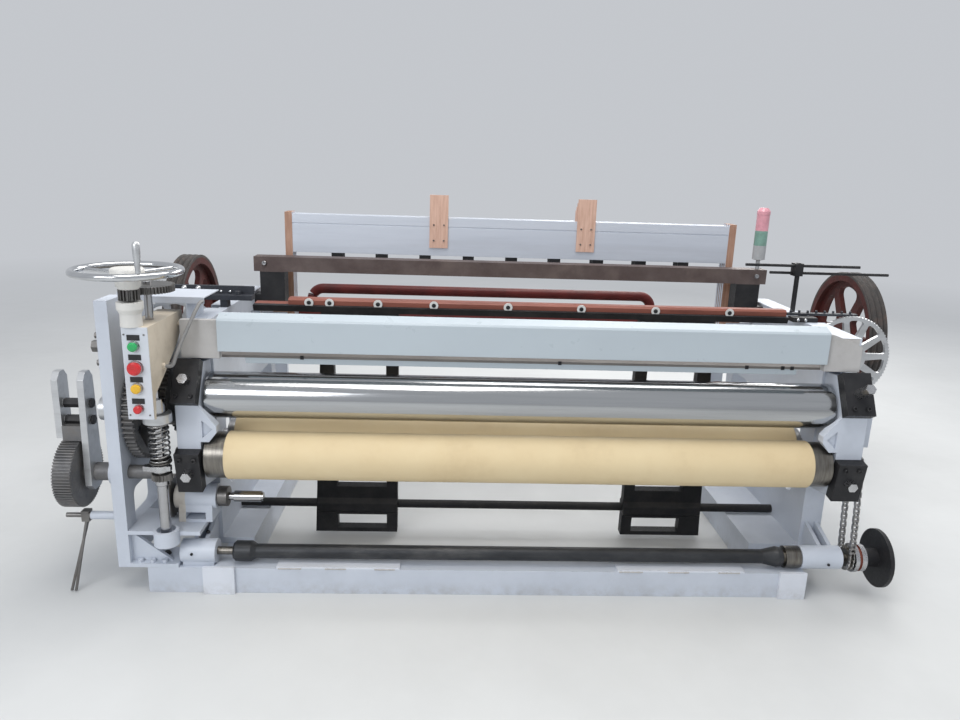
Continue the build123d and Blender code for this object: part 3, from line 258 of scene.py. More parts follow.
WOOD = dict(colour=(0.70, 0.47, 0.37), tint=(0.58, 0.36, 0.27), rough=0.6, grain=26.0, stretch=(6, 6, 0.5),
            dirt=(0.36, 0.20, 0.14), dirt_amount=0.3, bump=0.0003)
STILE = dict(WOOD, colour=(0.46, 0.28, 0.20), tint=(0.34, 0.19, 0.13))
RUBBER = dict(colour=(0.71, 0.58, 0.36), tint=(0.66, 0.52, 0.31), rough=0.62, grain=4.0, stretch=(1, 1, 1),
              dirt=(0.40, 0.31, 0.19), dirt_amount=0.28, bump=0.00012)
COPPER = dict(colour=(0.27, 0.090, 0.062), tint=(0.19, 0.060, 0.042), rough=0.45, grain=10.0,
              stretch=(0.4, 3, 3), dirt=(0.08, 0.04, 0.03), dirt_amount=0.5, bump=0.0002, shine=0.35)
HARNESS = dict(colour=(0.085, 0.060, 0.056), tint=(0.125, 0.095, 0.088), rough=0.55, metal=0.2, grain=14.0,
               dirt=(0.16, 0.12, 0.10), dirt_amount=0.5, bump=0.0003, soft=0.0015)
RED_PAINT = dict(colour=(0.14, 0.019, 0.016), tint=(0.095, 0.013, 0.012), rough=0.45, grain=12.0,
                 soft=0.002, shine=0.35, dirt=(0.05, 0.02, 0.018), dirt_amount=0.4, bump=0.0002)
TREAD = dict(colour=(0.035, 0.033, 0.032), tint=(0.06, 0.05, 0.046), rough=0.7, grain=30.0,
             dirt=(0.12, 0.07, 0.05), dirt_amount=0.5, bump=0.0004)
WASHER = dict(colour=(0.74, 0.74, 0.72), tint=(0.66, 0.66, 0.64), rough=0.4, grain=40.0, dirt_amount=0.2,
              bump=0.00005)
# Painted shade: dark grey-brown on the breast beam's ledge behind the panel, standing for the shade that
# lies there
LEDGE_SHADE = dict(colour=(0.16, 0.145, 0.135), tint=(0.21, 0.195, 0.18), rough=0.5, grain=6.0,
             dirt_amount=0.2, bump=0.0001)
CABLE = dict(colour=(0.20, 0.20, 0.20), tint=(0.25, 0.245, 0.24), rough=0.55, grain=40.0, dirt_amount=0.3,
             bump=0.0002)
GREY = dict(colour=(0.42, 0.43, 0.44), tint=(0.36, 0.37, 0.38), rough=0.5, grain=40.0, dirt_amount=0.2,
            bump=0.0002)
LABEL = dict(colour=(0.012, 0.012, 0.014), tint=(0.02, 0.02, 0.022), rough=0.35, grain=40.0,
             dirt=(0.10, 0.09, 0.08), dirt_amount=0.2, bump=0.00005)


def plastic(colour):
    """A clear bright moulding, for buttons and lamps."""
    dull = tuple(0.8 * value for value in colour)
    return dict(colour=colour, tint=dull, rough=0.25, grain=60.0, dirt_amount=0.12, bump=0.00005, coat=0.4,
                soft=0.0008)


GREEN_LENS = plastic((0.02, 0.42, 0.12))
RED_LENS = plastic((0.62, 0.015, 0.02))
YELLOW_LENS = plastic((0.80, 0.46, 0.02))
LAMP_GREEN = plastic((0.20, 0.36, 0.30))
LAMP_RED = plastic((0.74, 0.34, 0.40))

# Where a node changes its finish: sizes along X, then Y, then Z
pipe_left, pipe_right = -0.8415, 0.804
arm_end, rubber_end, rail_end, hook_end = 0.9655, 0.861, 0.789, 0.788
plate_face, housing_right = -1.1645, -0.985
disc_first, disc_second, disc_third, disc_last = 1.0155, 1.0282, 1.0371, 1.0521
ring_left, ring_right, strut_left = -0.8955, -0.8675, -1.245
lever_tip, pin_left, pin_right, clamp_left = -1.3102, -1.2915, -1.2405, -1.2218
weld_left, weld_right = -0.715, 0.685
guide_near, guide_far = 0.22, 0.31
foot_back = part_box("base_frame")[0].y + 0.0096
weld_back, arm_back, column_face, race_front, ledge_front = 0.001, 0.0425, -0.1488, 0.2685, 0.052
guide_depth = 0.0055
beam_top, weld_foot, bearing_top, strut_foot = 0.080, 0.0803, 0.21, 0.2115
ratchet_foot, ratchet_top = 0.3605, 0.43
boss_foot, boss_top, pin_foot = 0.45, 0.62, 0.5035
arm_foot, ledge_top, race_foot, harness_foot = 0.69, 0.698, 0.8065, 0.8595
hook_foot, hook_top, guide_foot, hub_foot = 0.882, 0.9198, 1.056, 0.915
lens_foot, lens_middle = 0.996, 1.048
everywhere = (None, None, None)

# The drums' axle, and the radius where their tread starts
drum_y, drum_z, tread_radius = 1.000, 0.600, 0.251

# Each material: its main finish, then the finishes that lie in places of it
healds = range(1, 5)
parts_of = {
    "paint": (PAINT,), "panel": (PANEL,), "black": (BLACK,), "dark_paint": (DARK_PAINT,),
    "chrome": (CHROME,), "bright": (BRIGHT,), "steel": (STEEL,), "iron": (IRON,), "alloy": (ALLOY,),
    "rubber": (RUBBER,), "label": (LABEL,), "button_green": (GREEN_LENS,), "button_red": (RED_LENS,),
    "button_yellow": (YELLOW_LENS,), "front_core": (DULL_STEEL,), "sley": (SLEY,),
    "red_paint": (RED_PAINT,), "cable": (CABLE,), "chain": (CHAIN,), "roller_chrome": (ROLLER,),
    "warp": (WARP,), "cream": (CREAM,), "spring_wire": (SPRING,), "iron_paint": (CASTING,),
    "slate": (SLATE,), "washer": (WASHER,), "stile": (STILE,),
    "windup_shaft": (DULL_STEEL, (PIPE, (pipe_left, None, None), (pipe_right, None, None))),
    "sley_beam": (SLEY, (COPPER, (None, race_front, race_foot), everywhere)),
    "vertical_shaft": (SMOOTH, (STEEL, (None, None, ratchet_foot), (None, None, ratchet_top))),
    "side_frame": (PAINT, (CASTING, (-arm_end, None, arm_foot), (arm_end, arm_back, None))),
    "outer_plate": (
        PAINT, (STEEL, (None, None, boss_top), (plate_face, None, None)),
        (ALLOY, (None, None, boss_foot), (plate_face, None, boss_top))),
    "column": (COLUMN, (FRONT_PLATE, everywhere, (None, column_face, None))),
    # The ledge behind the breast panel carries the dark painted shade
    "breast": (PANEL, (LEDGE_SHADE, (None, ledge_front, None), (None, None, ledge_top))),
    "clutch": (
        BLACK, (BRIGHT, (disc_first, None, None), (disc_second, None, None)),
        (COPPER, (disc_second, None, None), (disc_third, None, None)),
        (BRIGHT, (disc_third, None, None), (disc_last, None, None))),
    "spindle": (SMOOTH, (STEEL, (ring_left, None, None), (ring_right, None, None))),
    "bearings": (ALLOY, (PAINT, everywhere, (None, None, bearing_top))),
    "strut": (STEEL, (PAINT, (strut_left, None, strut_foot), everywhere)),
    "levers": (
        ALLOY, (BLACK, (pin_left, None, None), (pin_right, None, None)),
        (IRON, (pin_left, None, None), (pin_right, None, pin_foot)),
        (BLACK, (clamp_left, None, None), everywhere),
        (STEEL, everywhere, (lever_tip, None, None))),
    # The base beam's front face and the pads on its top get the lighter paint as painted light
    "base": (
        PAINT, (LIT_FRONT_PAINT, everywhere, (None, foot_back, None)),
        (LIT_FRONT_PAINT, (weld_left, None, weld_foot), (weld_right, weld_back, None))),
    "harness_beam": (HARNESS, (BLACK, everywhere, (None, None, harness_foot))),
    "housing": (PAINT, (BEIGE, everywhere, (housing_right, None, None))),
    "handwheel": (CHROME, (STEEL, everywhere, (None, None, hub_foot))),
    "tower_light": (
        GREY, (LAMP_GREEN, (None, None, lens_foot), (None, None, lens_middle)),
        (LAMP_RED, (None, None, lens_middle), everywhere)),
    "drums": (DRUM, (TREAD, drum_y, drum_z, tread_radius)),
    "rear_roller": (TURNED, (RUBBER, (-rubber_end, None, None), (rubber_end, None, None))),
}
for number in healds:
    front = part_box(f"heald_frame_{number}")[0].y + guide_depth
    parts_of[f"heald_frame_{number}"] = (
        RAIL, (STILE, (rail_end, None, None), everywhere), (STILE, everywhere, (-rail_end, None, None)),
        (WOOD, (-guide_far, None, None), (-guide_near, front, None)),
        (WOOD, (guide_near, None, None), (guide_far, front, None)),
        (BLACK, (-hook_end, None, hook_foot), (hook_end, None, hook_top)),
        (WOOD, (-guide_far, None, guide_foot), (-guide_near, None, None)),
        (WOOD, (guide_near, None, guide_foot), (guide_far, None, None)))
finishes = {name: material(name, *parts) for name, parts in parts_of.items()}

# Nodes whose finish has another name than the node
finish_of = {
    "base_frame": "base", "side_frame_left": "side_frame", "side_frame_right": "side_frame",
    "breast_beam": "breast", "roller_bracket_left": "paint", "roller_bracket_right": "paint",
    "pressure_plates": "black", "pressure_screws": "bright", "windup_housings": "paint",
    "roller_chain": "chain", "spindle_housing": "housing", "shaft_bearings": "bearings",
    "control_column": "column", "handwheel_housing": "cream", "control_conduit": "cable",
    "rapier_covers": "paint", "brake_strut": "strut", "drive_motor": "dark_paint",
    "rapier_gearboxes": "iron", "rapier_guides": "slate", "guide_posts": "stile", "sensor_rods": "black",
    "front_roller_core": "front_core", "front_roller_rubber": "rubber", "chrome_roller": "roller_chrome",
    "worm_wheel": "steel", "friction_clutch": "clutch", "spindle_shaft": "spindle",
    "spindle_ratchet": "steel", "shaft_gear": "steel", "shaft_spring": "steel", "pawl_bracket": "bright",
    "hand_grip": "alloy", "button_stop": "button_red", "drive_pulley": "iron", "lever_arms": "levers",
    "main_gear": "iron", "motor_pinion": "steel", "sley_frame": "sley", "rapier_wheel_left": "alloy",
    "rapier_wheel_right": "alloy", "warp_beam": "warp", "brake_drums": "drums", "back_rest": "red_paint",
}
for node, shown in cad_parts.items():
    finish = finishes[finish_of.get(node, node)]
    if not shown.material_slots:
        shown.data.materials.append(finish)
    for slot in shown.material_slots:
        slot.material = finish


# Small fittings and rounder shapes, riding on the frame's bodies

FRONT, RIGHT, UP = (0, -1, 0), (1, 0, 0), (0, 0, 1)
soft_angle = math.radians(40)


def piece(name, finish, build, body):
    """A mesh in the frame's axes, built by a function that fills a bmesh, riding on a body."""
    mesh = bpy.data.meshes.new(name)
    bm = bmesh.new()
    build(bm)
    bmesh.ops.recalc_face_normals(bm, faces=bm.faces)
    for edge in bm.edges:
        edge.smooth = len(edge.link_faces) == 2 and edge.calc_face_angle(0) < soft_angle
    for face in bm.faces:
        face.smooth = True
    bm.to_mesh(mesh)
    bm.free()
    made = bpy.data.objects.new(name, mesh)
    bpy.context.scene.collection.objects.link(made)
    made.data.materials.append(finishes[finish])
    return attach(made, body)


def facing(x, y, z, axis):
    """A matrix at a point whose Z axis looks along axis."""
    turn = Vector(axis).to_track_quat("Z", "Y").to_matrix().to_4x4()
    return Matrix.Translation((x, y, z)) @ turn


def on_circle(radius, share):
    """The X and Y of a point on a circle, at a share of a full turn."""
    turn = 2 * math.pi * share
    return radius * math.cos(turn), radius * math.sin(turn)


def circle(bm, place, radius, height, sides):
    """A ring of vertices about the Z axis of a matrix."""
    return [bm.verts.new(place @ Vector((*on_circle(radius, k / sides), height))) for k in range(sides)]


def wall(bm, first, second):
    """Faces between two rings of as many vertices."""
    for k in range(len(first)):
        j = (k + 1) % len(first)
        bm.faces.new((first[k], first[j], second[j], second[k]))


def skin(bm, rings):
    """Walls between rings that follow each other, and flat ends."""
    for first, second in zip(rings, rings[1:]):
        wall(bm, first, second)
    bm.faces.new(rings[0][::-1])
    bm.faces.new(rings[-1])


def lathe(bm, profile, place, sides=64):
    """A closed turned form: (height, radius) points about the Z axis of a matrix."""
    skin(bm, [circle(bm, place, radius, height, sides) for height, radius in profile])


def turned_ring(bm, place, section, sides):
    """A closed section of (radius, height) points swept round the Z axis of a matrix."""
    loops = [circle(bm, place, radius, height, sides) for radius, height in section]
    for first, second in zip(loops, loops[1:] + loops[:1]):
        wall(bm, first, second)


def ring(bm, place, inner, outer, tall, sides=40):
    """A flat ring standing on the plane of a matrix."""
    turned_ring(bm, place, ((inner, 0), (outer, 0), (outer, tall), (inner, tall)), sides)


def tube(bm, points, radius, sides):
    """A round rod through a row of points, with flat ends."""
    rings = []
    for k, point in enumerate(points):
        along = (points[min(k + 1, len(points) - 1)] - points[max(k - 1, 0)]).normalized()
        across = along.cross(Vector(UP) if abs(along.z) < 0.9 else Vector(RIGHT)).normalized()
        other = along.cross(across)
        spots = [on_circle(radius, i / sides) for i in range(sides)]
        rings.append([bm.verts.new(point + across * x + other * y) for x, y in spots])
    skin(bm, rings)


def plate(bm, x0, x1, y0, y1, z0, z1):
    """A box between two corners."""
    made = bmesh.ops.create_cube(bm, size=1.0)["verts"]
    size = Matrix.Diagonal((x1 - x0, y1 - y0, z1 - z0, 1.0))
    centre = Matrix.Translation(((x0 + x1) / 2, (y0 + y1) / 2, (z0 + z1) / 2))
    bmesh.ops.transform(bm, matrix=centre @ size, verts=made)


def rounded(corners, steps=6):
    """A closed outline through corners (x, y, radius), each turned with an arc."""
    points = []
    count = len(corners)
    for k, (x, y, radius) in enumerate(corners):
        here = Vector((x, y))
        back = (Vector(corners[k - 1][:2]) - here).normalized()
        ahead = (Vector(corners[(k + 1) % count][:2]) - here).normalized()
        half = back.angle(ahead) / 2
        middle = here + (back + ahead).normalized() * radius / math.sin(half)
        start = (here + back * radius / math.tan(half) - middle).normalized()
        end = (here + ahead * radius / math.tan(half) - middle).normalized()
        points += [middle + start.slerp(end, i / steps) * radius for i in range(steps + 1)]
    return points


def turned_by(corners, turn):
    """Corners (x, y, radius) turned about the origin."""
    return [(x * math.cos(turn) - y * math.sin(turn), x * math.sin(turn) + y * math.cos(turn), radius)
            for x, y, radius in corners]


def windowed(bm, place, outline, holes, thickness):
    """A plate from an outline with holes in it, standing on the plane of a matrix."""
    edges = []
    for loop in [outline] + holes:
        verts = [bm.verts.new((x, y, 0.0)) for x, y in loop]
        edges += [bm.edges.new((verts[k], verts[(k + 1) % len(verts)])) for k in range(len(verts))]
    filled = bmesh.ops.triangle_fill(bm, edges=edges, use_beauty=True, normal=UP)["geom"]
    flat = [item for item in filled if isinstance(item, bmesh.types.BMFace)]
    grown = bmesh.ops.extrude_face_region(bm, geom=flat)["geom"]
    top = [item for item in grown if isinstance(item, bmesh.types.BMVert)]
    bmesh.ops.translate(bm, verts=top, vec=(0, 0, thickness))
    base = {vert for face in flat for vert in face.verts}
    bmesh.ops.transform(bm, matrix=place, verts=list(base | set(top)))


def socket_screw(bm, place, radius):
    """A cap screw head with a hollow top."""
    tall = radius * 1.1
    lathe(bm, [(0, radius), (tall * 0.85, radius), (tall, radius * 0.88), (tall, radius * 0.55),
               (tall * 0.5, radius * 0.5)], place, 18)


def hex_bolt(bm, place, radius):
    """A hexagonal head on its washer."""
    lathe(bm, [(0, radius * 1.25), (radius * 0.2, radius * 1.25)], place, 20)
    lathe(bm, [(radius * 0.2, radius), (radius * 0.75, radius), (radius * 0.9, radius * 0.86)], place, 6)


def dome(bm, place, radius):
    """A rounded head."""
    lathe(bm, [(0, radius), (radius * 0.35, radius), (radius * 0.75, radius * 0.8), (radius, radius * 0.3)],
          place, 20)


def flat_head(bm, place, radius):
    """A low round head."""
    lathe(bm, [(0, radius), (radius * 0.3, radius), (radius * 0.45, radius * 0.8)], place, 20)


def screws(name, finish, body, places, radius, head=socket_screw):
    """A group of like screws in one piece: places are (x, y, z, axis)."""
    def build(bm):
        for x, y, z, axis in places:
            head(bm, facing(x, y, z, axis), radius)
    return piece(name, finish, build, body)


# Blank labels and bezels round the four buttons, and the panel's corner screws
panel_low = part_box("control_column")[0]
button_boxes = [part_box(name) for name in ("button_green", "button_stop", "button_yellow", "button_red")]
label_half, label_gap, label_rise, label_wall = 0.016, 0.003, 0.0145, 0.0012
bezel_gap, bezel_width, bezel_wall = 0.0006, 0.003, 0.0015


def labels(bm):
    """A blank dark label over each button."""
    for low, high in button_boxes:
        middle = (low.x + high.x) / 2
        foot = high.z + label_gap
        plate(bm, middle - label_half, middle + label_half, panel_low.y - label_wall, panel_low.y, foot,
              foot + label_rise)


def bezels(bm):
    """A thin ring on the panel round each button, clear of its travel."""
    for low, high in button_boxes:
        radius = (high.z - low.z) / 2
        place = facing((low.x + high.x) / 2, panel_low.y, (low.z + high.z) / 2, FRONT)
        ring(bm, place, radius + bezel_gap, radius + bezel_width, bezel_wall)


piece("button_labels", "label", labels, "frame")
piece("button_bezels", "bright", bezels, "frame")
corner_x = (panel_low.x + 0.006, panel_low.x + 0.056)
corner_z = (0.584, 0.798)
screws("panel_screws", "steel", "frame",
       [(x, panel_low.y, z, FRONT) for x in corner_x for z in corner_z], 0.0022)

# Cap screws of the black pressure plates, on both slopes
upper_row, upper_slope = (-0.0435, 0.6035), (0, -0.868, 0.497)
lower_row, lower_slope = (-0.0502, 0.4185), (0, -0.987, -0.163)
cap_places = []
for middle in (-0.946, 0.953):
    for shift in (-0.020, 0.020):
        cap_places.append((middle + shift, *upper_row, upper_slope))
        cap_places.append((middle + shift, *lower_row, lower_slope))
screws("plate_screws", "black", "frame", cap_places, 0.0065)

# Four small screws in each wooden guide block
block_middles, block_shifts, block_rows = (-0.267, 0.264), (-0.018, 0.018), (0.975, 1.03)
for number in healds:
    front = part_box(f"heald_frame_{number}")[0].y
    block_places = [(x + dx, front, z, FRONT)
                    for x in block_middles for dx in block_shifts for z in block_rows]
    screws(f"block_screws_{number}", "steel", f"heald_{number}", block_places, 0.003)

# Bolts of the outer plate's foot and screws of the wind-up housings
foot_top = 0.092
screws("foot_bolts", "black", "frame",
       [(x, y, foot_top, UP) for x, y in ((-1.085, 0.02), (-1.045, 0.02), (-1.085, 0.11))], 0.009, hex_bolt)
screws("housing_screws", "black", "frame",
       [(x, -0.0345, z, FRONT) for x, z in ((-0.955, 0.121), (0.935, 0.109))], 0.004)

# White washers along the race board, each round a dark bolt
race_row, race_slope = (0.2697, 0.8146), (0.0, -0.998, -0.059)
race_places = [(x, *race_row, race_slope)
               for x in (-0.656, -0.593, -0.444, -0.271, -0.040, 0.190, 0.425, 0.661)]
washer_inner, washer_outer, washer_wall = 0.0068, 0.0138, 0.0016


def washers(bm):
    """Flat rings on the front of the race board."""
    for place in race_places:
        ring(bm, facing(*place), washer_inner, washer_outer, washer_wall, 28)


piece("race_washers", "washer", washers, "sley")
screws("race_bolts", "black", "sley", race_places, 0.0066, flat_head)

# Bolts of the harness beam, the left rapier guide, the right track's clamp and the spindle's housing
guide_face, track_face = 0.315, 0.270
screws("harness_bolts", "bright", "frame", [(x, 0.600, 0.890, FRONT) for x in (-0.868, 0.868)], 0.008)
screws("guide_bolts", "chrome", "frame",
       [(x, guide_face, 0.8425, FRONT) for x in (-1.047, -1.004)], 0.010, dome)
screws("guide_screws", "chrome", "frame",
       [(x, guide_face, 0.835, FRONT) for x in (-0.935, -0.907)], 0.005, dome)


def track_block(bm):
    """The dark clamp before the right track, on the side frame."""
    plate(bm, 0.868, 0.948, track_face, 0.3088, 0.7902, 0.8045)


piece("track_block", "black", track_block, "frame")
screws("track_bolts", "chrome", "frame",
       [(x, track_face, 0.7975, FRONT) for x in (0.884, 0.908)], 0.0055, dome)
screws("spindle_bolts", "black", "frame", [(-0.925, 0.0295, z, FRONT) for z in (0.160, 0.205)], 0.006, dome)

# Beads of weld along the front seams of the two plates on the base beam
weld_plates = ((-0.712, -0.352), (0.295, 0.680))
weld_runs = ((0.02, 0.20), (0.40, 0.56), (0.80, 0.96))
weld_least, weld_most, weld_step, weld_front = 0.0022, 0.0034, 1.4, -0.040


def weld_beads(bm):
    """Rows of uneven round beads."""
    for left, right in weld_plates:
        for start, end in weld_runs:
            x, stop = left + start * (right - left), left + end * (right - left)
            while x < stop:
                radius = random.uniform(weld_least, weld_most)
                profile = [(radius * height, radius * share)
                           for height, share in ((-1, 0.3), (-0.6, 0.8), (0, 1), (0.6, 0.8), (1, 0.3))]
                lathe(bm, profile, facing(x, weld_front, beam_top, RIGHT), 10)
                x += weld_step * radius


piece("weld_beads", "iron_paint", weld_beads, "frame")

# The ledge behind the breast panel
strip_half, tab_half, tab_face = 0.80, 0.005, 0.0600


def ledge_strip(bm):
    """The pale strip under the ledge."""
    plate(bm, -strip_half, strip_half, 0.0602, 0.0640, 0.674, 0.690)


def ledge_tabs(bm):
    """Small dark stops on the front of the ledge."""
    for x in (-0.640, 0.100, 0.650, 0.757, 0.785):
        plate(bm, x - tab_half, x + tab_half, 0.0575, tab_face, 0.688, 0.699)


piece("ledge_strip", "panel", ledge_strip, "frame")
piece("ledge_tabs", "black", ledge_tabs, "frame")

# The riveted ends of the chain's pins, outside its link plates
chain_pitch, chain_teeth, chain_middle, chain_side = 0.0127, 16, 1.005, 0.0079
front_centre, wind_centre = Vector((chain_middle, 0.030, 0.406)), Vector((chain_middle, 0.0, 0.1154))


def chain_pins():
    """The pins' places: half a turn on each sprocket and the two runs between them."""
    span = (front_centre - wind_centre).length
    along = (front_centre - wind_centre).normalized()
    across = Vector((0, -along.z, along.y))
    radius = chain_pitch / 2 / math.sin(math.pi / chain_teeth)
    runs = round(span / chain_pitch)
    pins = []
    for centre, sign in ((front_centre, 1), (wind_centre, -1)):
        for k in range(chain_teeth // 2 + 1):
            x, y = on_circle(sign * radius, k / chain_teeth)
            pins.append(centre + x * across + y * along)
        last = pins[-1]
        for k in range(1, runs):
            pins.append(last - sign * along * (k * span / runs))
    return pins


def pin_heads(bm):
    """A short round head on both sides of the chain at each pin."""
    for pin in chain_pins():
        for side in (-1, 1):
            place = facing(pin.x + side * chain_side, pin.y, pin.z, (side, 0, 0))
            lathe(bm, [(0.0, 0.0019), (0.0006, 0.0019), (0.0009, 0.0013)], place, 12)


piece("chain_pin_heads", "bright", pin_heads, "frame")

# The handwheel with its round rim and spokes, in place of the faceted one
wheel_low, wheel_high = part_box("handwheel")
wheel_x, wheel_y = (wheel_low.x + wheel_high.x) / 2, (wheel_low.y + wheel_high.y) / 2
wheel_foot = facing(wheel_x, wheel_y, 0.0, UP)
rim_tube, hub_radius, rim_height = 0.009, 0.041, 0.958
rim_radius = (wheel_high.x - wheel_low.x) / 2 - rim_tube
rim_sides, tube_sides, spoke_count, first_spoke, spoke_radius = 120, 20, 3, 47 / 360, 0.0052
pinion_teeth, pinion_root, pinion_tip, pinion_foot, pinion_top = 17, 0.0200, 0.0261, 0.884, 0.912
pin_radius, pin_start = 0.0088, 0.832


def wheel_hub(bm):
    """The painted hub."""
    lathe(bm, [(pinion_top, 0.024), (0.920, 0.030), (0.936, 0.031), (0.945, hub_radius - 0.002),
               (0.949, hub_radius), (0.961, hub_radius), (0.965, hub_radius - 0.003)], wheel_foot)


def round_wheel(bm):
    """Rim as a torus and three round spokes."""
    section = []
    for i in range(tube_sides):
        out, up = on_circle(rim_tube, i / tube_sides)
        section.append((rim_radius + out, rim_height + up))
    turned_ring(bm, wheel_foot, section, rim_sides)
    for k in range(spoke_count):
        ends = []
        for reach, drop in ((hub_radius - 0.006, 0.006), (rim_radius - 0.004, 0.002)):
            x, y = on_circle(reach, first_spoke + k / spoke_count)
            ends.append(Vector((wheel_x + x, wheel_y + y, rim_height - drop)))
        tube(bm, ends, spoke_radius, 16)


def hub_pinion(bm):
    """The pinion and the spindle under the hub."""
    gear_low, gear_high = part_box("shaft_gear")
    gear = (gear_low + gear_high) / 2
    toward_gear = math.atan2(gear.y - wheel_y, gear.x - wheel_x) / (2 * math.pi)
    tooth = ((0.0, pinion_root), (0.22, pinion_root), (0.36, pinion_tip), (0.64, pinion_tip),
             (0.78, pinion_root))
    outline = []
    for k in range(pinion_teeth):
        for share, radius in tooth:
            x, y = on_circle(radius, toward_gear + (k + share) / pinion_teeth)
            outline.append((wheel_x + x, wheel_y + y))
    skin(bm, [[bm.verts.new((x, y, z)) for x, y in outline] for z in (pinion_foot, pinion_top)])
    lathe(bm, [(pin_start, pin_radius), (pinion_foot, pin_radius)], wheel_foot, 32)


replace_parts(piece("round_handwheel", "chrome", round_wheel, "hand"), "handwheel")
piece("wheel_hub", "cream", wheel_hub, "hand")
piece("hub_pinion", "steel", hub_pinion, "hand")

# The revolving handle
grip_low, grip_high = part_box("hand_grip")
grip_radius, grip_foot = (grip_high.x - grip_low.x) / 2, 0.006


def round_grip(bm):
    """The handle, fuller in its upper half, with a rounded top."""
    low, high = grip_low.z + 0.0008, grip_high.z
    profile = [(low, grip_foot), (low + 0.010, grip_foot * 1.03), (low + 0.030, grip_radius * 0.86),
               (low + 0.050, grip_radius), (high - 0.008, grip_radius), (high - 0.003, grip_radius * 0.86),
               (high, grip_radius * 0.5)]
    place = facing((grip_low.x + grip_high.x) / 2, (grip_low.y + grip_high.y) / 2, 0.0, UP)
    lathe(bm, profile, place, 40)


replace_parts(piece("round_handle", "alloy", round_grip, "grip"), "hand_grip")

# The spring as round wire
spring_low, spring_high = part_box("shaft_spring")
spring_wire, spring_turns, spring_steps = 0.0025, 7, 36


def round_spring(bm):
    """An open coil with a closed turn at each end."""
    middle = (spring_low + spring_high) / 2
    radius = (spring_high.x - spring_low.x) / 2 - spring_wire
    bottom, top = spring_low.z + spring_wire, spring_high.z - spring_wire
    flat = 2.1 * spring_wire
    points = []
    for k in range(spring_steps * (spring_turns + 2) + 1):
        turn = k / spring_steps
        share = min(max((turn - 1) / spring_turns, 0.0), 1.0)
        height = bottom + min(turn, 1) * flat * 0.5 + share * (top - bottom - flat)
        height += max(turn - 1 - spring_turns, 0) * flat * 0.5
        x, y = on_circle(radius, turn)
        points.append(Vector((middle.x + x, middle.y + y, height)))
    tube(bm, points, spring_wire, 10)


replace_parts(piece("wire_spring", "spring_wire", round_spring, "upright"), "shaft_spring")

# The two rapier wheels with their fine teeth and rounded windows
disc_radius, disc_root, disc_teeth, disc_wall = 0.1358, 0.1330, 78, 0.012
disc_face, disc_middle, disc_height = 0.294, 0.300, 0.673
window_count, window_turn, boss_radius, axle_radius, axle_back = 11, math.radians(19), 0.052, 0.015, 0.130
disc_window = ((0.054, -0.0035, 0.002), (0.1185, -0.0262, 0.007), (0.1235, 0.0, 0.05),
               (0.1185, 0.0262, 0.007), (0.054, 0.0035, 0.002))


def rapier_disc(x):
    """A function that builds the wheel at an X place."""
    def build(bm):
        tooth = ((0.0, disc_root), (0.25, disc_radius), (0.55, disc_radius), (0.8, disc_root))
        outline = [on_circle(radius, (k + share) / disc_teeth)
                   for k in range(disc_teeth) for share, radius in tooth]
        holes = [rounded(turned_by(disc_window, window_turn + 2 * math.pi * k / window_count))
                 for k in range(window_count)]
        windowed(bm, facing(x, disc_face + disc_wall, disc_height, FRONT), outline, holes, disc_wall)
        hub = facing(x, disc_middle, disc_height, FRONT)
        lathe(bm, [(0.002, boss_radius), (0.017, boss_radius), (0.018, boss_radius - 0.002)], hub)
        lathe(bm, [(-axle_back, axle_radius), (0.024, axle_radius)], hub, 32)
    return build


for side, x in (("left", -1.078), ("right", 1.078)):
    made = piece(f"rapier_wheel_{side}_round", "alloy", rapier_disc(x), f"wheel_{side}")
    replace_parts(made, f"rapier_wheel_{side}")

# The brake drums, with cast webs between their six rounded windows
drum_low, drum_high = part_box("brake_drums")
drum_radius, drum_width, drum_inner, web_radius, web_wall = 0.262, 0.067, 0.226, 0.230, 0.020
groove_count, groove_depth, land, drum_ease, drum_windows, drum_sides = 3, 0.009, 0.002, 0.002, 6, 120
drum_window = ((0.085, -0.022, 0.012), (0.180, -0.082, 0.026), (0.216, 0.0, 0.14),
               (0.180, 0.082, 0.026), (0.085, 0.022, 0.012))


def round_drums(bm):
    """Grooved rims, webs with windows and hubs of both drums."""
    step = drum_width / groove_count
    tread = []
    for k in range(groove_count):
        tread += [(drum_radius, step * k + land), (drum_radius - groove_depth, step * (k + 0.5)),
                  (drum_radius, step * (k + 1) - land)]
    shoulder = drum_radius - drum_ease
    section = [(drum_inner, 0.0), (shoulder, 0.0), *tread, (shoulder, drum_width), (drum_inner, drum_width)]
    edge = [on_circle(web_radius, k / drum_sides) for k in range(drum_sides)]
    holes = [rounded(turned_by(drum_window, math.pi * (2 * k + 1) / drum_windows))
             for k in range(drum_windows)]
    for start in (drum_low.x, drum_high.x - drum_width):
        middle = start + drum_width / 2
        turned_ring(bm, facing(start, drum_y, drum_z, RIGHT), section, drum_sides)
        windowed(bm, facing(middle - web_wall / 2, drum_y, drum_z, RIGHT), edge, holes, web_wall)
        lathe(bm, [(-0.026, 0.054), (-0.022, 0.058), (0.022, 0.058), (0.026, 0.054)],
              facing(middle, drum_y, drum_z, RIGHT))


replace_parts(piece("round_drums", "drums", round_drums, "warp"), "brake_drums")

# The back rest, its bar bent down at both ends towards the pivot shaft
rest_low, rest_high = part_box("back_rest")
rest_bar, rest_pivot, rest_ends = (0.950, 0.749), (0.880, 0.660), (-0.790, 0.610)
rest_tube, bend, bend_steps, knee_share, rest_sides = 0.020, 0.045, 8, 0.35, 24


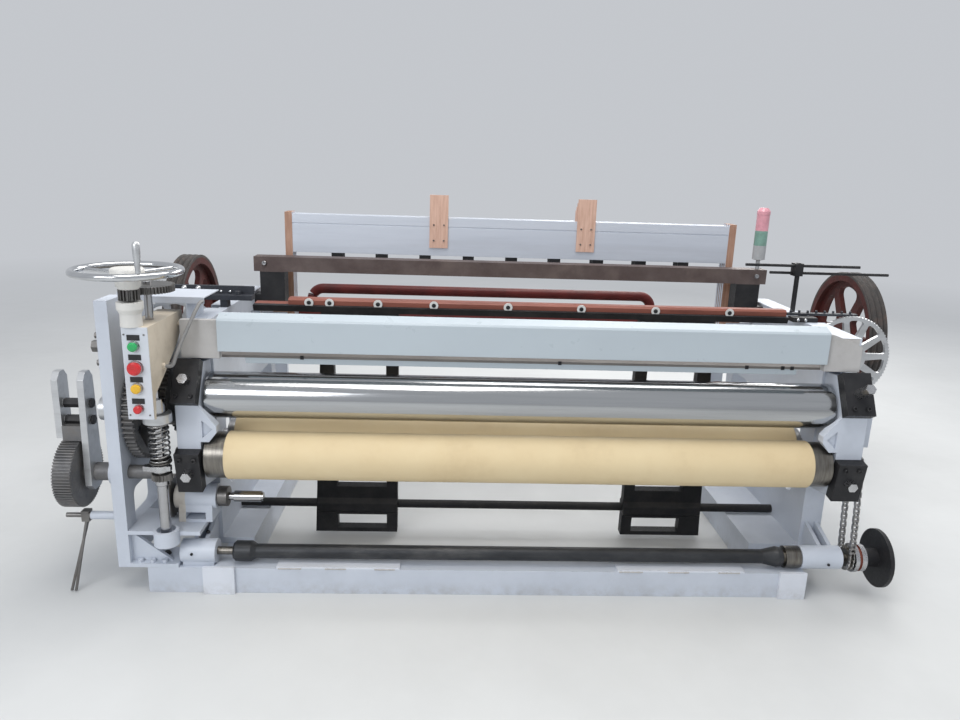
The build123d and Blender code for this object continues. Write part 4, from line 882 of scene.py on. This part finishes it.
def round_rest(bm):
    """Bent bar and straight pivot shaft."""
    y, z = rest_bar
    path = []
    for end, inward in ((rest_ends[0], 1), (rest_ends[1], -1)):
        middle = end + inward * (rest_tube + bend)
        arc = []
        for k in range(bend_steps + 1):
            up, out = on_circle(bend, k / bend_steps / 4)
            arc.append(Vector((middle - inward * out, y, z - bend + up)))
        foot = Vector((end + inward * rest_tube, *rest_pivot))
        side = arc + [arc[-1].lerp(foot, knee_share), foot]
        path = side[::-1] + path if inward == 1 else path + side
    tube(bm, path, rest_tube - 0.0005, rest_sides)
    tube(bm, [Vector((x, *rest_pivot)) for x in (rest_low.x, rest_high.x)], rest_tube, rest_sides)


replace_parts(piece("round_back_rest", "red_paint", round_rest, "rest_bar"), "back_rest")

# The floor, which fades into the sky's colour away from the machine
half, fade_start, fade_end = 14.0, 3.0, 9.0
floor_corners = [(-half, -half, 0), (half, -half, 0), (half, half, 0), (-half, half, 0)]
floor_mesh = bpy.data.meshes.new("floor")
floor_mesh.from_pydata(floor_corners, [], [(0, 1, 2, 3)])
floor = bpy.data.objects.new("floor", floor_mesh)
bpy.context.scene.collection.objects.link(floor)
FLOOR = dict(colour=(0.60, 0.61, 0.61), tint=(0.56, 0.57, 0.57), rough=0.6, grain=1.2, dirt_amount=0.1,
             dirt=(0.45, 0.45, 0.44), bump=0.0002)
sky_colour, sky_strength = (0.84, 0.87, 0.92, 1.0), 0.66
floor_finish = material("floor", FLOOR)
tree = floor_finish.node_tree
far = add(tree, "ShaderNodeEmission", Strength=sky_strength)
far.inputs["Color"].default_value = sky_colour
length = tree.nodes.new("ShaderNodeVectorMath")
length.operation = "LENGTH"
tree.links.new(add(tree, "ShaderNodeTexCoord").outputs["Object"], length.inputs[0])
fade = tree.nodes.new("ShaderNodeMixShader")
end = next(node for node in tree.nodes if node.type == "OUTPUT_MATERIAL")
near = end.inputs[0].links[0].from_socket
tree.links.new(ramp(tree, length.outputs["Value"], fade_start, fade_end), fade.inputs[0])
tree.links.new(near, fade.inputs[1])
tree.links.new(far.outputs[0], fade.inputs[2])
tree.links.new(fade.outputs[0], end.inputs[0])
floor.data.materials.append(floor_finish)

# Light: an even sky and three soft lamps
world = bpy.data.worlds.new("studio")
bpy.context.scene.world = world
world.use_nodes = True
sky = world.node_tree.nodes["Background"]
sky.inputs[0].default_value = sky_colour
sky.inputs[1].default_value = sky_strength


def lamp(name, place, target, width, height, watts, colour):
    """A soft area light."""
    data = bpy.data.lights.new(name, "AREA")
    data.shape = "RECTANGLE"
    data.size, data.size_y = width, height
    data.energy, data.color = watts, colour
    made = bpy.data.objects.new(name, data)
    bpy.context.scene.collection.objects.link(made)
    made.location = place
    made.rotation_euler = (Vector(target) - Vector(place)).to_track_quat("-Z", "Y").to_euler()


lamp("roof", (0.3, 0.2, 4.2), (0.0, 0.4, 0.5), 5.0, 1.8, 150, (1.0, 0.98, 0.95))
lamp("front", (-2.4, -3.6, 2.6), (0.0, 0.2, 0.5), 2.5, 1.4, 75, (0.95, 0.97, 1.0))
lamp("rear", (1.8, 4.2, 3.0), (0.0, 0.6, 0.7), 3.0, 1.5, 90, (1.0, 0.99, 0.97))

# The photograph's own station, worked out from the machine's straight edges
photo_width, focal_pixels, sensor_width = 960.0, 752.21, 36.0
yaw, pitch, roll = math.radians(2.462), math.radians(14.411), math.radians(-1.8627)
station = (-0.2215, -2.0377, 1.2372)
ahead = Vector((math.sin(yaw) * math.cos(pitch), math.cos(yaw) * math.cos(pitch), -math.sin(pitch)))
level = Vector((math.cos(yaw), -math.sin(yaw), 0.0))
below = ahead.cross(level)
right = math.cos(roll) * level + math.sin(roll) * below
down = -math.sin(roll) * level + math.cos(roll) * below
camera_data = bpy.data.cameras.new("photo")
camera_data.sensor_width = sensor_width
camera_data.lens = sensor_width * focal_pixels / photo_width
camera = bpy.data.objects.new("photo", camera_data)
bpy.context.scene.collection.objects.link(camera)
axes = Matrix((right, -down, -ahead)).transposed().to_4x4()
camera.matrix_world = Matrix.Translation(station) @ axes
bpy.context.scene.camera = camera
bpy.context.scene.view_settings.view_transform = "Standard"
